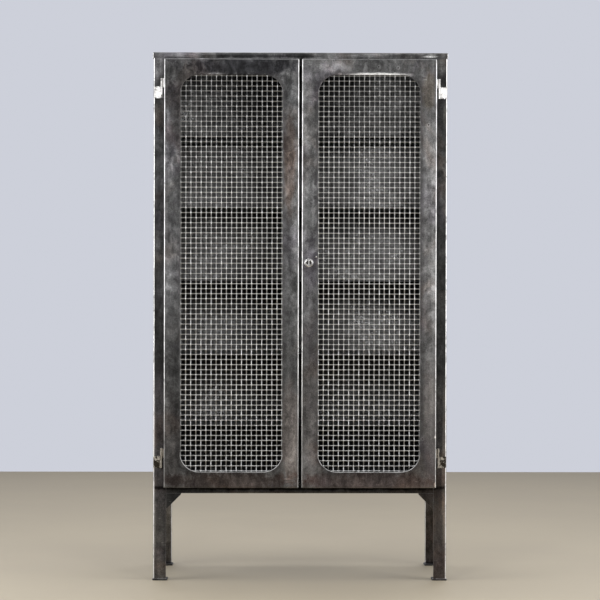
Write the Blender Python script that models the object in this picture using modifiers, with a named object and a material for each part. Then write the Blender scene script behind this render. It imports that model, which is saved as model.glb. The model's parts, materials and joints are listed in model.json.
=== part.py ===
"""Two-door steel medical cabinet with wire mesh doors, standing on angle iron legs.

Metres, +Z up. The doors face -Y and the origin is on the floor under the middle of the cabinet.
"""
import math

import bmesh
import bpy
from mathutils import Matrix, Vector

# Overall size, and the clearance between pieces that touch
WIDTH = 0.900
DEPTH = 0.400
HEIGHT = 1.610
CLEARANCE = 0.0003

# Angle iron posts and their foot plates
POST_FLANGE = 0.040
POST_WALL = 0.005
POST_ROOT = 0.006
POST_TOE = 0.004
POST_HEEL = 0.006
FOOT_SIDE = 0.046
FOOT_THICKNESS = 0.005
FOOT_CORNER = 0.003

# Folded cap
CAP_SHEET = 0.0015
CAP_RIM = 0.018
CAP_BEND = 0.003

# Sheet panels and the rails that join the posts
PANEL_SHEET = 0.0012
BOTTOM_LIP = 0.012
BOTTOM_CORNER = 0.008
LEG_HEIGHT = 0.2665
RAIL_WALL = 0.003
RAIL_ROOT = 0.002
RAIL_TOE = 0.002
RAIL_FLANGE = 0.025
GUSSET_SIDE = 0.046
GUSSET_TIP = 0.003
GUSSET_THICKNESS = 0.004

# Shelves, each at its own rise above the legs, and their runners
SHELF_1_RISE = 0.2055
SHELF_2_RISE = 0.4240
SHELF_3_RISE = 0.6475
SHELF_4_RISE = 0.8735
SHELF_5_RISE = 1.0875
SHELF_SHEET = 0.0012
SHELF_LIP = 0.0045
SHELF_BEND = 0.0025
SHELF_SETBACK = 0.038
SHELF_PLAY = 0.001
RUNNER_FLANGE = 0.015
RUNNER_WALL = 0.002
RUNNER_BEND = 0.0015
RUNNER_SETBACK = 0.004

# Doors: folded pans that lap over the posts, with a turned-in rim round the opening
DOOR_DEPTH = 0.020
DOOR_SHEET = 0.0015
DOOR_BEND = 0.003
DOOR_LAP = 0.0065
DOOR_STANDOFF = 0.002
DOOR_TOP_GAP = 0.002
DOOR_RETURN = 0.014
DOOR_BORDER = 0.050
OPENING_CORNER = 0.058
OPENING_RIM = 0.004
MEETING_GAP = 0.008
SILL_SHOW = 0.0175
SILL_LAP = 0.016
HEADER_LAP = 0.020

# Wire mesh and the border bar that holds the wire ends
WIRE = 0.003
WIRE_PITCH = 0.0154
WIRE_ANCHOR = 0.002
BORDER_BAR = 0.008
BORDER_DEPTH = 0.011

# Lift-off hinges
HINGE_LENGTH = 0.060
HINGE_INSET = 0.090
HINGE_OFFSET = 0.0075
KNUCKLE_RADIUS = 0.004
KNUCKLE_STANDOFF = 0.0012
KNUCKLE_SPLIT = 0.0004
PIN_RADIUS = 0.0021
PIN_PLAY = 0.0004
PIN_SETBACK = 0.001
LEAF_THICKNESS = 0.0025
LEAF_HEIGHT = 0.036
LEAF_MARGIN = 0.002
LEAF_CORNER = 0.003
LEAF_PLAY = 0.0006
TAB_HEIGHT = 0.027
TAB_REACH = 0.0125

# Lock on the right door
LOCK_X = 0.0258
LOCK_Z = 0.970
ROSETTE_RADIUS = 0.0135
ROSETTE_HEIGHT = 0.0035
ROSETTE_LIP = 0.0010
PLUG_RADIUS = 0.0079
PLUG_PLAY = 0.0004
PLUG_SETBACK = 0.0006
PLUG_LENGTH = 0.0090
GRIP_WIDTH = 0.0030
POCKET_WIDTH = 0.0036
POCKET_HEIGHT = 0.0104
POCKET_DEPTH = 0.0032
POCKET_CORNER = 0.0016
CAM_THICKNESS = 0.0022
CAM_PIN_RADIUS = 0.0015
CAM_PIN_LENGTH = 0.0045
CAM_EDGE = 0.0028
BOLT_TRAVEL = 0.014
BOLT_LENGTH = 0.0355
BOLT_HEIGHT = 0.013
BOLT_RISE = 0.0085
BOLT_THICKNESS = 0.005
BOLT_SLOT_WIDTH = 0.0042
BOLT_SLOT_HEIGHT = 0.0084
BOLT_SLOT_CORNER = 0.0012
BOLT_PLAY = 0.0006
CASE_WIDTH = 0.037
CASE_BELOW = 0.018
CASE_ABOVE = 0.020
CASE_WALL = 0.0012
RIVET_Z = 0.988
RIVET_HEAD = 0.003
RIVET_DOME = 0.0014
RIVET_SHANK = 0.0014

# Slide bolts inside the left door
SLIDE_WIDTH = 0.012
SLIDE_THICKNESS = 0.005
SLIDE_LENGTH = 0.090
SLIDE_REST_GAP = 0.008
SLIDE_INSET = 0.012
SLIDE_RAIL_GAP = 0.0007
SLIDE_PLAY = 0.0004
SLIDE_KNOB_RADIUS = 0.004
SLIDE_KNOB_LENGTH = 0.008
SLIDE_KNOB_INSET = 0.010
GUIDE_WIDTH = 0.020
GUIDE_HEIGHT = 0.034
GUIDE_WALL = 0.0020
GUIDE_INSET = 0.018

# Planes and edges that follow from the sizes above
DOOR_FRONT = -DEPTH / 2 + ROSETTE_HEIGHT + CLEARANCE
DOOR_BACK = DOOR_FRONT + DOOR_DEPTH
POST_FRONT = DOOR_BACK + DOOR_STANDOFF
POST_REAR = DEPTH / 2 - CAP_SHEET - CLEARANCE
POST_SIDE = WIDTH / 2 - CAP_SHEET - CLEARANCE
POST_INNER = POST_SIDE - POST_FLANGE
POST_BASE = FOOT_THICKNESS + CLEARANCE
POST_TOP = HEIGHT - CAP_SHEET - CLEARANCE
SIDE_PANEL_INNER = POST_SIDE - POST_WALL - CLEARANCE - PANEL_SHEET
BACK_PANEL_FRONT = POST_REAR - POST_WALL - CLEARANCE - PANEL_SHEET
BOTTOM_BASE = LEG_HEIGHT + RAIL_WALL + CLEARANCE
DOOR_OUTER = POST_INNER + DOOR_LAP
DOOR_INNER = MEETING_GAP / 2
DOOR_TOP = HEIGHT - CAP_RIM - DOOR_TOP_GAP
DOOR_BASE = LEG_HEIGHT + SILL_SHOW
DOOR_MIDDLE = (DOOR_OUTER + DOOR_INNER) / 2
DOOR_CENTRE_Z = (DOOR_TOP + DOOR_BASE) / 2
DOOR_WIDTH = DOOR_OUTER - DOOR_INNER
DOOR_HEIGHT = DOOR_TOP - DOOR_BASE
OPENING_WIDTH = DOOR_WIDTH - 2 * DOOR_BORDER
OPENING_HEIGHT = DOOR_HEIGHT - 2 * DOOR_BORDER
HINGE_X = DOOR_OUTER + HINGE_OFFSET
HINGE_Y = POST_FRONT - KNUCKLE_STANDOFF - KNUCKLE_RADIUS
HEADER_BASE = DOOR_TOP - HEADER_LAP
SILL_TOP = DOOR_BASE + SILL_LAP
BORDER_INSET = DOOR_SHEET + 2 * CLEARANCE
BORDER_INNER_WIDTH = OPENING_WIDTH + 2 * BORDER_INSET
BORDER_INNER_HEIGHT = OPENING_HEIGHT + 2 * BORDER_INSET
RIVET_X = DOOR_INNER + DOOR_BORDER - BORDER_INSET - BORDER_BAR / 2
CAM_PIN_THROW = BOLT_TRAVEL / math.sqrt(2)
CAM_PIN_OFFSET = BOLT_TRAVEL / 2

FACING_FRONT = Matrix.Rotation(math.pi / 2, 4, "X")
ALONG_X = Matrix(((0, 0, 1, 0), (1, 0, 0, 0), (0, 1, 0, 0), (0, 0, 0, 1)))
WELD = 0.00001
FLAT = math.radians(0.1)
SIDES = {"left": -1, "right": 1}

# Colour, roughness and metallic value of each finish
BARE_STEEL = ((0.085, 0.083, 0.086, 1.0), 0.42, 0.95)
DARK_STEEL = ((0.050, 0.049, 0.052, 1.0), 0.48, 0.95)
WIRE_STEEL = ((0.200, 0.200, 0.205, 1.0), 0.38, 1.0)
NICKEL = ((0.560, 0.550, 0.530, 1.0), 0.22, 1.0)


def clear_scene():
    """Remove every object that the new file starts with."""
    for item in list(bpy.data.objects):
        bpy.data.objects.remove(item, do_unlink=True)


def new_collection(name):
    collection = bpy.data.collections.new(name)
    bpy.context.scene.collection.children.link(collection)
    return collection


def finish_material(name, finish):
    """A Principled material for one sub-part."""
    colour, roughness, metallic = finish
    material = bpy.data.materials.new(name + "_finish")
    material.use_nodes = True
    shader = material.node_tree.nodes["Principled BSDF"]
    shader.inputs["Base Color"].default_value = colour
    shader.inputs["Roughness"].default_value = roughness
    shader.inputs["Metallic"].default_value = metallic
    return material


def part(name, mesh, location, finish=BARE_STEEL, parent=None):
    """Place a mesh in the world as a named sub-part, under a pivot if it has one."""
    item = bpy.data.objects.new(name, mesh)
    PARTS.objects.link(item)
    item.location = location
    if parent is not None:
        item.parent = parent
        item.location = Vector(location) - parent.location
    mesh.materials.append(finish_material(name, finish))
    return item


def tool(name, mesh, location):
    """A cutter or a piece to be joined, which isn't itself a sub-part."""
    item = bpy.data.objects.new(name, mesh)
    TOOLS.objects.link(item)
    item.location = location
    item.hide_render = True
    item.display_type = "WIRE"
    return item


def combine(item, other, operation):
    modifier = item.modifiers.new(other.name, "BOOLEAN")
    modifier.operation = operation
    modifier.solver = "EXACT"
    modifier.object = other


def cut(item, other):
    combine(item, other, "DIFFERENCE")


def join(item, other):
    combine(item, other, "UNION")


def pivot(name, location):
    """An empty on the axis that a door swings about."""
    item = bpy.data.objects.new(name, None)
    PARTS.objects.link(item)
    item.location = location
    return item


def arc(centre, radius, start, end, steps):
    """Points from one angle to another, in degrees."""
    angles = [math.radians(start + (end - start) * step / steps) for step in range(steps + 1)]
    return [(centre[0] + radius * math.cos(a), centre[1] + radius * math.sin(a)) for a in angles]


def rounded_rectangle(width, height, radius, steps):
    """A rectangle about the origin with round corners."""
    x, y = width / 2 - radius, height / 2 - radius
    outline = []
    for index, (across, up) in enumerate(((x, y), (-x, y), (-x, -y), (x, -y))):
        outline += arc((across, up), radius, 90 * index, 90 * index + 90, steps)
    return outline


def angle_outline(across, up, wall, root, toe, heel=0.0):
    """An L section with its heel at the origin and its flanges along +X and +Y."""
    outline = arc((heel, heel), heel, 180, 270, 5) if heel else [(0.0, 0.0)]
    outline.append((across, 0.0))
    outline += arc((across - toe, wall - toe), toe, 0, 90, 3)
    outline += arc((wall + root, wall + root), root, 270, 180, 3)
    outline += arc((wall - toe, up - toe), toe, 0, 90, 3)
    outline.append((0.0, up))
    return outline


def channel_outline(depth, lip, sheet, bend):
    """A folded sheet with a lip turned down at both ends, hanging below the X axis."""
    inner = bend - sheet
    outline = [(0.0, -lip)]
    outline += arc((bend, -bend), bend, 180, 90, 3)
    outline += arc((depth - bend, -bend), bend, 90, 0, 3)
    outline += [(depth, -lip), (depth - sheet, -lip)]
    outline += arc((depth - bend, -bend), inner, 0, 90, 3)
    outline += arc((bend, -bend), inner, 90, 180, 3)
    outline.append((sheet, -lip))
    return outline


def flipped(outline, across=1, up=1):
    return [(across * x, up * y) for x, y in outline]


def extruded(loops, length, turn=None):
    """A mesh of one or more closed outlines, extruded about their plane and then turned."""
    curve = bpy.data.curves.new("outline", "CURVE")
    curve.dimensions = "2D"
    curve.fill_mode = "BOTH"
    curve.extrude = length / 2
    for loop in loops:
        spline = curve.splines.new("POLY")
        spline.points.add(len(loop) - 1)
        for point, (x, y) in zip(spline.points, loop):
            point.co = (x, y, 0.0, 1.0)
        spline.use_cyclic_u = True
    guide = bpy.data.objects.new("outline", curve)
    TOOLS.objects.link(guide)
    evaluated = guide.evaluated_get(bpy.context.evaluated_depsgraph_get())
    mesh = bpy.data.meshes.new_from_object(evaluated)
    bpy.data.objects.remove(guide, do_unlink=True)
    shape = bmesh.new()
    shape.from_mesh(mesh)
    bmesh.ops.remove_doubles(shape, verts=shape.verts, dist=WELD)
    bmesh.ops.recalc_face_normals(shape, faces=shape.faces)
    bmesh.ops.dissolve_limit(shape, angle_limit=FLAT, verts=shape.verts, edges=shape.edges)
    if turn is not None:
        bmesh.ops.transform(shape, matrix=turn, verts=shape.verts)
    return filled_mesh(mesh, shape)


def filled_mesh(mesh, shape):
    """Move the finished bmesh into a mesh."""
    shape.to_mesh(mesh)
    shape.free()
    return mesh


def add_box(shape, size, centre):
    matrix = Matrix.Translation(centre) @ Matrix.Diagonal((*size, 1.0))
    return bmesh.ops.create_cube(shape, size=1.0, matrix=matrix)["verts"]


def box(size):
    shape = bmesh.new()
    add_box(shape, size, (0.0, 0.0, 0.0))
    return filled_mesh(bpy.data.meshes.new("box"), shape)


def rounded_box(size, radius, segments, is_rounded):
    """A box whose edges are rounded where is_rounded says so of both of their ends."""
    shape = bmesh.new()
    add_box(shape, size, (0.0, 0.0, 0.0))
    edges = [edge for edge in shape.edges if is_rounded(*(v.co for v in edge.verts))]
    bmesh.ops.bevel(shape, geom=edges, offset=radius, segments=segments, profile=0.5, affect="EDGES")
    return filled_mesh(bpy.data.meshes.new("rounded_box"), shape)


def upright_edge(a, b):
    return a.z * b.z < 0


def not_bottom_edge(a, b):
    return a.z > 0 or b.z > 0


def not_back_edge(a, b):
    return a.y < 0 or b.y < 0


def cylinder(radius, length, sides, turn=None):
    """A cylinder about the Z axis, or about -Y when turned to face the front."""
    shape = bmesh.new()
    bmesh.ops.create_cone(shape, cap_ends=True, segments=sides, radius1=radius, radius2=radius, depth=length)
    if turn is not None:
        bmesh.ops.transform(shape, matrix=turn, verts=shape.verts)
    mesh = filled_mesh(bpy.data.meshes.new("cylinder"), shape)
    mesh.shade_smooth()
    mesh.set_sharp_from_angle(angle=math.radians(35))
    return mesh


def dome(inner, outer, base, top, steps):
    """A quarter ellipse of (radius, height) points, from its crown down to its outer edge."""
    quarter = arc((0.0, 0.0), 1.0, 90, 0, steps)
    return [(inner + (outer - inner) * x, base + (top - base) * y) for x, y in quarter]


def turned(name, profile, steps, location, finish, parent, closed):
    """A profile of (radius, height) points swept about an axis that points to the front."""
    shape = bmesh.new()
    points = [shape.verts.new((radius, 0.0, height)) for radius, height in profile]
    for first, second in zip(points, points[1:]):
        shape.edges.new((first, second))
    if closed:
        shape.edges.new((points[-1], points[0]))
    item = part(name, filled_mesh(bpy.data.meshes.new(name), shape), location, finish, parent)
    item.rotation_euler = (math.pi / 2, 0.0, 0.0)
    sweep = item.modifiers.new("sweep", "SCREW")
    sweep.steps = steps
    sweep.render_steps = steps
    sweep.use_merge_vertices = True
    sweep.merge_threshold = WELD
    sweep.use_smooth_shade = True
    return item


def make_posts():
    outline = angle_outline(POST_FLANGE, POST_FLANGE, POST_WALL, POST_ROOT, POST_TOE, POST_HEEL)
    middle = (POST_TOP + POST_BASE) / 2
    foot_y = {"front": POST_FRONT - CAP_SHEET - CLEARANCE + FOOT_SIDE / 2,
              "rear": POST_REAR + CAP_SHEET + CLEARANCE - FOOT_SIDE / 2}
    post_y = {"front": POST_FRONT, "rear": POST_REAR}
    for end, inward in (("front", 1), ("rear", -1)):
        for side, outward in SIDES.items():
            section = flipped(outline, -outward, inward)
            place = (outward * POST_SIDE, post_y[end], middle)
            part(f"post_{end}_{side}", extruded([section], POST_TOP - POST_BASE), place)
            foot = rounded_box((FOOT_SIDE, FOOT_SIDE, FOOT_THICKNESS), FOOT_CORNER, 2, upright_edge)
            foot_x = outward * (WIDTH - FOOT_SIDE) / 2
            part(f"foot_{end}_{side}", foot, (foot_x, foot_y[end], FOOT_THICKNESS / 2), DARK_STEEL)


def make_cap():
    front = POST_FRONT - CAP_SHEET - CLEARANCE
    rear = DEPTH / 2
    size = (WIDTH, rear - front, CAP_RIM)
    centre = Vector((0.0, (front + rear) / 2, HEIGHT - CAP_RIM / 2))
    cap = part("top_cap", rounded_box(size, CAP_BEND, 2, not_bottom_edge), centre)
    hollow = box((size[0] - 2 * CAP_SHEET, size[1] - 2 * CAP_SHEET, CAP_RIM))
    cut(cap, tool("cap_hollow", hollow, centre - Vector((0.0, 0.0, CAP_SHEET))))


def make_panels():
    side_front = POST_FRONT + POST_WALL + POST_ROOT
    side_rear = POST_REAR - POST_WALL - POST_ROOT
    side_size = (PANEL_SHEET, side_rear - side_front, POST_TOP - LEG_HEIGHT)
    for side, outward in SIDES.items():
        place = (outward * (SIDE_PANEL_INNER + PANEL_SHEET / 2), (side_front + side_rear) / 2,
                 (POST_TOP + LEG_HEIGHT) / 2)
        part(f"side_panel_{side}", box(side_size), place)

    back_width = 2 * (POST_SIDE - POST_WALL - POST_ROOT - CLEARANCE)
    back_size = (back_width, PANEL_SHEET, POST_TOP - BOTTOM_BASE)
    back_place = (0.0, BACK_PANEL_FRONT + PANEL_SHEET / 2, (POST_TOP + BOTTOM_BASE) / 2)
    part("back_panel", box(back_size), back_place)

    front = POST_FRONT + POST_WALL + CLEARANCE
    rear = BACK_PANEL_FRONT - CLEARANCE
    size = (2 * (SIDE_PANEL_INNER - CLEARANCE), rear - front, BOTTOM_LIP)
    centre = Vector((0.0, (front + rear) / 2, BOTTOM_BASE + BOTTOM_LIP / 2))
    bottom = part("bottom_pan", rounded_box(size, BOTTOM_CORNER, 3, upright_edge), centre)
    hollow_size = (size[0] - 2 * PANEL_SHEET, size[1] - 2 * PANEL_SHEET, BOTTOM_LIP)
    hollow = rounded_box(hollow_size, BOTTOM_CORNER - PANEL_SHEET, 3, upright_edge)
    cut(bottom, tool("bottom_hollow", hollow, centre + Vector((0.0, 0.0, PANEL_SHEET))))


def make_rails():
    """Header and sills: angle rails between the toes of the posts."""
    length = 2 * (POST_INNER - CLEARANCE)
    sill = angle_outline(RAIL_FLANGE, SILL_TOP - LEG_HEIGHT, RAIL_WALL, RAIL_ROOT, RAIL_TOE)
    header = angle_outline(RAIL_FLANGE, POST_TOP - HEADER_BASE, RAIL_WALL, RAIL_ROOT, RAIL_TOE)
    part("sill_front", extruded([sill], length, ALONG_X), (0.0, POST_FRONT, LEG_HEIGHT))
    part("sill_rear", extruded([flipped(sill, -1)], length, ALONG_X), (0.0, POST_REAR, LEG_HEIGHT))
    part("header_front", extruded([flipped(header, 1, -1)], length, ALONG_X), (0.0, POST_FRONT, POST_TOP))

    near = CLEARANCE
    gusset = [(near, -near), (GUSSET_SIDE, -near), (GUSSET_SIDE, -near - GUSSET_TIP)]
    gusset += [(near + GUSSET_TIP, -GUSSET_SIDE), (near, -GUSSET_SIDE)]
    for side, outward in SIDES.items():
        plate = extruded([flipped(gusset, -outward)], GUSSET_THICKNESS, FACING_FRONT)
        place = (outward * POST_INNER, POST_FRONT + GUSSET_THICKNESS / 2, LEG_HEIGHT)
        part(f"gusset_{side}", plate, place)


def make_shelves():
    front = POST_FRONT + SHELF_SETBACK
    depth = BACK_PANEL_FRONT - SHELF_PLAY - front
    width = 2 * (SIDE_PANEL_INNER - SHELF_PLAY)
    profile = channel_outline(depth, SHELF_LIP, SHELF_SHEET, SHELF_BEND)
    runner = angle_outline(RUNNER_FLANGE, RUNNER_FLANGE, RUNNER_WALL, RUNNER_BEND, RUNNER_BEND)
    runner_length = depth - 2 * (SHELF_BEND + RUNNER_SETBACK)
    rises = (SHELF_1_RISE, SHELF_2_RISE, SHELF_3_RISE, SHELF_4_RISE, SHELF_5_RISE)
    for index, rise in enumerate(rises):
        top = LEG_HEIGHT + rise
        under = top - SHELF_SHEET - CLEARANCE
        part(f"shelf_{index + 1}", extruded([profile], width, ALONG_X), (0.0, front, top))
        for side, outward in SIDES.items():
            section = extruded([flipped(runner, -outward, -1)], runner_length, FACING_FRONT)
            place = (outward * (SIDE_PANEL_INNER - CLEARANCE), front + depth / 2, under)
            part(f"runner_{index + 1}_{side}", section, place, DARK_STEEL)


def make_hinges(pivots):
    """Four lift-off hinges: the pin stands in the post's knuckle and the door's knuckle drops over it."""
    half = HINGE_LENGTH / 2
    knuckle_length = half - KNUCKLE_SPLIT / 2
    bore_radius = PIN_RADIUS + PIN_PLAY
    leaf_near = KNUCKLE_RADIUS + LEAF_PLAY
    leaf_far = POST_SIDE - LEAF_MARGIN - HINGE_X
    leaf_top = LEAF_HEIGHT - half
    leaf = [(0.0, -half)]
    leaf += arc((leaf_far - LEAF_CORNER, -half + LEAF_CORNER), LEAF_CORNER, 270, 360, 3)
    leaf += arc((leaf_far - LEAF_CORNER, leaf_top - LEAF_CORNER), LEAF_CORNER, 0, 90, 3)
    leaf += [(leaf_near, leaf_top), (leaf_near, -KNUCKLE_SPLIT / 2), (0.0, -KNUCKLE_SPLIT / 2)]
    levels = {"upper": DOOR_TOP - HINGE_INSET, "lower": DOOR_BASE + HINGE_INSET}
    for side, outward in SIDES.items():
        for level, middle in levels.items():
            name = f"{side}_{level}"
            axis = Vector((outward * HINGE_X, HINGE_Y, middle))
            low = axis - Vector((0.0, 0.0, half - knuckle_length / 2))
            high = axis + Vector((0.0, 0.0, half - knuckle_length / 2))
            bore = tool(f"hinge_bore_{name}", cylinder(bore_radius, 2 * HINGE_LENGTH, 16), axis)

            plate_place = (axis.x, POST_FRONT - CLEARANCE - LEAF_THICKNESS / 2, middle)
            plate = extruded([flipped(leaf, outward)], LEAF_THICKNESS, FACING_FRONT)
            post_leaf = part(f"hinge_post_leaf_{name}", plate, plate_place)
            join(post_leaf, tool(f"post_knuckle_{name}", cylinder(KNUCKLE_RADIUS, knuckle_length, 16), low))
            cut(post_leaf, bore)

            pin = cylinder(PIN_RADIUS, HINGE_LENGTH - 2 * PIN_SETBACK, 16)
            part(f"hinge_pin_{name}", pin, axis, NICKEL)

            tab_x = DOOR_OUTER + CLEARANCE + LEAF_THICKNESS / 2
            tab_rear = DOOR_BACK - CLEARANCE
            tab_front = HINGE_Y - TAB_REACH
            tab_size = (LEAF_THICKNESS, tab_rear - tab_front, TAB_HEIGHT)
            tab_place = (outward * tab_x, (tab_rear + tab_front) / 2, high.z)
            door_leaf = part(f"hinge_door_leaf_{name}", box(tab_size), tab_place, BARE_STEEL, pivots[side])
            web_width = HINGE_X - tab_x
            web = tool(f"hinge_web_{name}", box((web_width, LEAF_THICKNESS, TAB_HEIGHT)),
                       (outward * (tab_x + web_width / 2), HINGE_Y, high.z))
            join(door_leaf, web)
            join(door_leaf, tool(f"door_knuckle_{name}", cylinder(KNUCKLE_RADIUS, knuckle_length, 16), high))
            cut(door_leaf, bore)


def make_door_skin(side, outward, parent):
    """A folded pan with returns at its back and a turned-in rim round the opening."""
    centre = Vector((outward * DOOR_MIDDLE, (DOOR_FRONT + DOOR_BACK) / 2, DOOR_CENTRE_Z))
    size = (DOOR_WIDTH, DOOR_DEPTH, DOOR_HEIGHT)
    pan = rounded_box(size, DOOR_BEND, 3, not_back_edge)
    skin = part(f"{side}_door_skin", pan, centre, BARE_STEEL, parent)

    walls = 2 * DOOR_SHEET
    hollow = box((DOOR_WIDTH - walls, DOOR_DEPTH - walls, DOOR_HEIGHT - walls))
    cut(skin, tool(f"{side}_door_hollow", hollow, centre))
    back = box((DOOR_WIDTH - 2 * DOOR_RETURN, DOOR_DEPTH / 2, DOOR_HEIGHT - 2 * DOOR_RETURN))
    cut(skin, tool(f"{side}_door_back", back, centre + Vector((0.0, DOOR_DEPTH / 2, 0.0))))

    outer = rounded_rectangle(OPENING_WIDTH + walls, OPENING_HEIGHT + walls, OPENING_CORNER + DOOR_SHEET, 8)
    inner = rounded_rectangle(OPENING_WIDTH, OPENING_HEIGHT, OPENING_CORNER, 8)
    rim_start = DOOR_FRONT + DOOR_SHEET / 2
    rim_length = OPENING_RIM - DOOR_SHEET / 2
    rim_place = (centre.x, rim_start + rim_length / 2, centre.z)
    join(skin, tool(f"{side}_door_rim", extruded([outer], rim_length, FACING_FRONT), rim_place))
    hole = extruded([inner], 2 * OPENING_RIM + walls, FACING_FRONT)
    cut(skin, tool(f"{side}_door_opening", hole, (centre.x, DOOR_FRONT, centre.z)))

    slot_size = (4 * DOOR_SHEET, BOLT_THICKNESS + 2 * BOLT_PLAY, BOLT_HEIGHT + 2 * BOLT_PLAY)
    slot_place = (outward * (DOOR_INNER + DOOR_SHEET / 2), lock_bolt_y(), LOCK_Z + BOLT_RISE)
    cut(skin, tool(f"{side}_door_bolt_slot", box(slot_size), slot_place))
    return skin


def make_mesh_panel(side, outward, parent):
    """Upright wires in front and level wires behind, all anchored in a border bar behind the skin."""
    centre_x = outward * DOOR_MIDDLE
    border_front = DOOR_FRONT + DOOR_SHEET + CLEARANCE
    border_place = Vector((centre_x, border_front + BORDER_DEPTH / 2, DOOR_CENTRE_Z))
    bar = 2 * BORDER_BAR
    border = box((BORDER_INNER_WIDTH + bar, BORDER_DEPTH, BORDER_INNER_HEIGHT + bar))
    panel = part(f"{side}_mesh_panel", border, border_place, WIRE_STEEL, parent)
    hole = box((BORDER_INNER_WIDTH, 2 * BORDER_DEPTH, BORDER_INNER_HEIGHT))
    cut(panel, tool(f"{side}_mesh_border_hole", hole, border_place))

    upright_y = DOOR_FRONT + OPENING_RIM + CLEARANCE + WIRE / 2
    level_y = upright_y + WIRE + CLEARANCE
    upright_length = BORDER_INNER_HEIGHT + 2 * WIRE_ANCHOR
    level_length = BORDER_INNER_WIDTH + 2 * WIRE_ANCHOR
    wires = bmesh.new()
    for across in wire_places(BORDER_INNER_WIDTH):
        add_box(wires, (WIRE, WIRE, upright_length), (across, upright_y, 0.0))
    for up in wire_places(BORDER_INNER_HEIGHT):
        add_box(wires, (level_length, WIRE, WIRE), (0.0, level_y, up))
    wire_mesh = filled_mesh(bpy.data.meshes.new("wires"), wires)
    join(panel, tool(f"{side}_mesh_wires", wire_mesh, (centre_x, 0.0, DOOR_CENTRE_Z)))


def wire_places(span):
    """Places of as many wires as fit in a span, at an even pitch about its middle."""
    count = int((span - WIRE) / WIRE_PITCH) + 1
    return [(index - (count - 1) / 2) * WIRE_PITCH for index in range(count)]


def lock_bolt_y():
    """Middle of the lock bolt's thickness, just behind the cam."""
    return lock_cam_back() + CLEARANCE + BOLT_THICKNESS / 2


def lock_cam_back():
    return -DEPTH / 2 + PLUG_SETBACK + PLUG_LENGTH + CAM_THICKNESS


def make_lock(skin, parent):
    """Rosette, plug with its cam, sliding bolt and an open-fronted case behind the skin."""
    axis = Vector((LOCK_X, 0.0, LOCK_Z))
    plug_front = -DEPTH / 2 + PLUG_SETBACK
    plug_hole = PLUG_RADIUS + PLUG_PLAY
    hole = cylinder(plug_hole, 4 * DOOR_SHEET, 32, FACING_FRONT)
    cut(skin, tool("plug_hole", hole, axis + Vector((0.0, DOOR_FRONT, 0.0))))

    ring = dome(plug_hole, ROSETTE_RADIUS, ROSETTE_LIP, ROSETTE_HEIGHT, 5)
    ring += [(ROSETTE_RADIUS, 0.0), (plug_hole, 0.0)]
    rosette_base = axis + Vector((0.0, DOOR_FRONT - CLEARANCE, 0.0))
    turned("lock_rosette", ring, 40, rosette_base, NICKEL, parent, closed=True)

    plug_body = cylinder(PLUG_RADIUS, PLUG_LENGTH, 32, FACING_FRONT)
    plug_place = axis + Vector((0.0, plug_front + PLUG_LENGTH / 2, 0.0))
    plug = part("lock_plug", plug_body, plug_place, NICKEL, parent)
    for hand in (-1, 1):
        pocket = extruded([rounded_rectangle(POCKET_WIDTH, POCKET_HEIGHT, POCKET_CORNER, 3)],
                          2 * POCKET_DEPTH, FACING_FRONT)
        pocket_x = hand * (GRIP_WIDTH + POCKET_WIDTH) / 2
        cut(plug, tool(f"plug_pocket_{hand}", pocket, axis + Vector((pocket_x, plug_front, 0.0))))
    make_cam(plug, axis)

    make_lock_bolt(parent)
    make_lock_case(parent)
    make_rivet(skin, parent)


def make_cam(plug, axis):
    """A lobe behind the plug that carries the pin that draws the bolt."""
    lobe = arc((0.0, 0.0), PLUG_RADIUS, 135, 315, 10)
    lobe += arc((CAM_PIN_OFFSET, CAM_PIN_OFFSET), CAM_EDGE, -45, 135, 6)
    cam_front = lock_cam_back() - CAM_THICKNESS
    cam = extruded([lobe], CAM_THICKNESS + CLEARANCE, FACING_FRONT)
    join(plug, tool("plug_cam", cam, axis + Vector((0.0, cam_front + (CAM_THICKNESS - CLEARANCE) / 2, 0.0))))
    pin = cylinder(CAM_PIN_RADIUS, CAM_PIN_LENGTH + CAM_THICKNESS / 2, 12, FACING_FRONT)
    pin_y = lock_cam_back() + (CAM_PIN_LENGTH - CAM_THICKNESS / 2) / 2
    join(plug, tool("plug_pin", pin, axis + Vector((CAM_PIN_OFFSET, pin_y, CAM_PIN_OFFSET))))


def make_lock_bolt(parent):
    tip = DOOR_INNER + DOOR_SHEET / 2
    place = Vector((tip + BOLT_LENGTH / 2, lock_bolt_y(), LOCK_Z + BOLT_RISE))
    bolt = part("lock_bolt", box((BOLT_LENGTH, BOLT_THICKNESS, BOLT_HEIGHT)), place, NICKEL, parent)
    slot_z = LOCK_Z + (CAM_PIN_THROW + CAM_PIN_OFFSET) / 2
    slot = rounded_rectangle(BOLT_SLOT_WIDTH, BOLT_SLOT_HEIGHT, BOLT_SLOT_CORNER, 3)
    slot_mesh = extruded([slot], 2 * BOLT_THICKNESS, FACING_FRONT)
    cut(bolt, tool("bolt_slot", slot_mesh, (LOCK_X + CAM_PIN_OFFSET, place.y, slot_z)))


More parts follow.
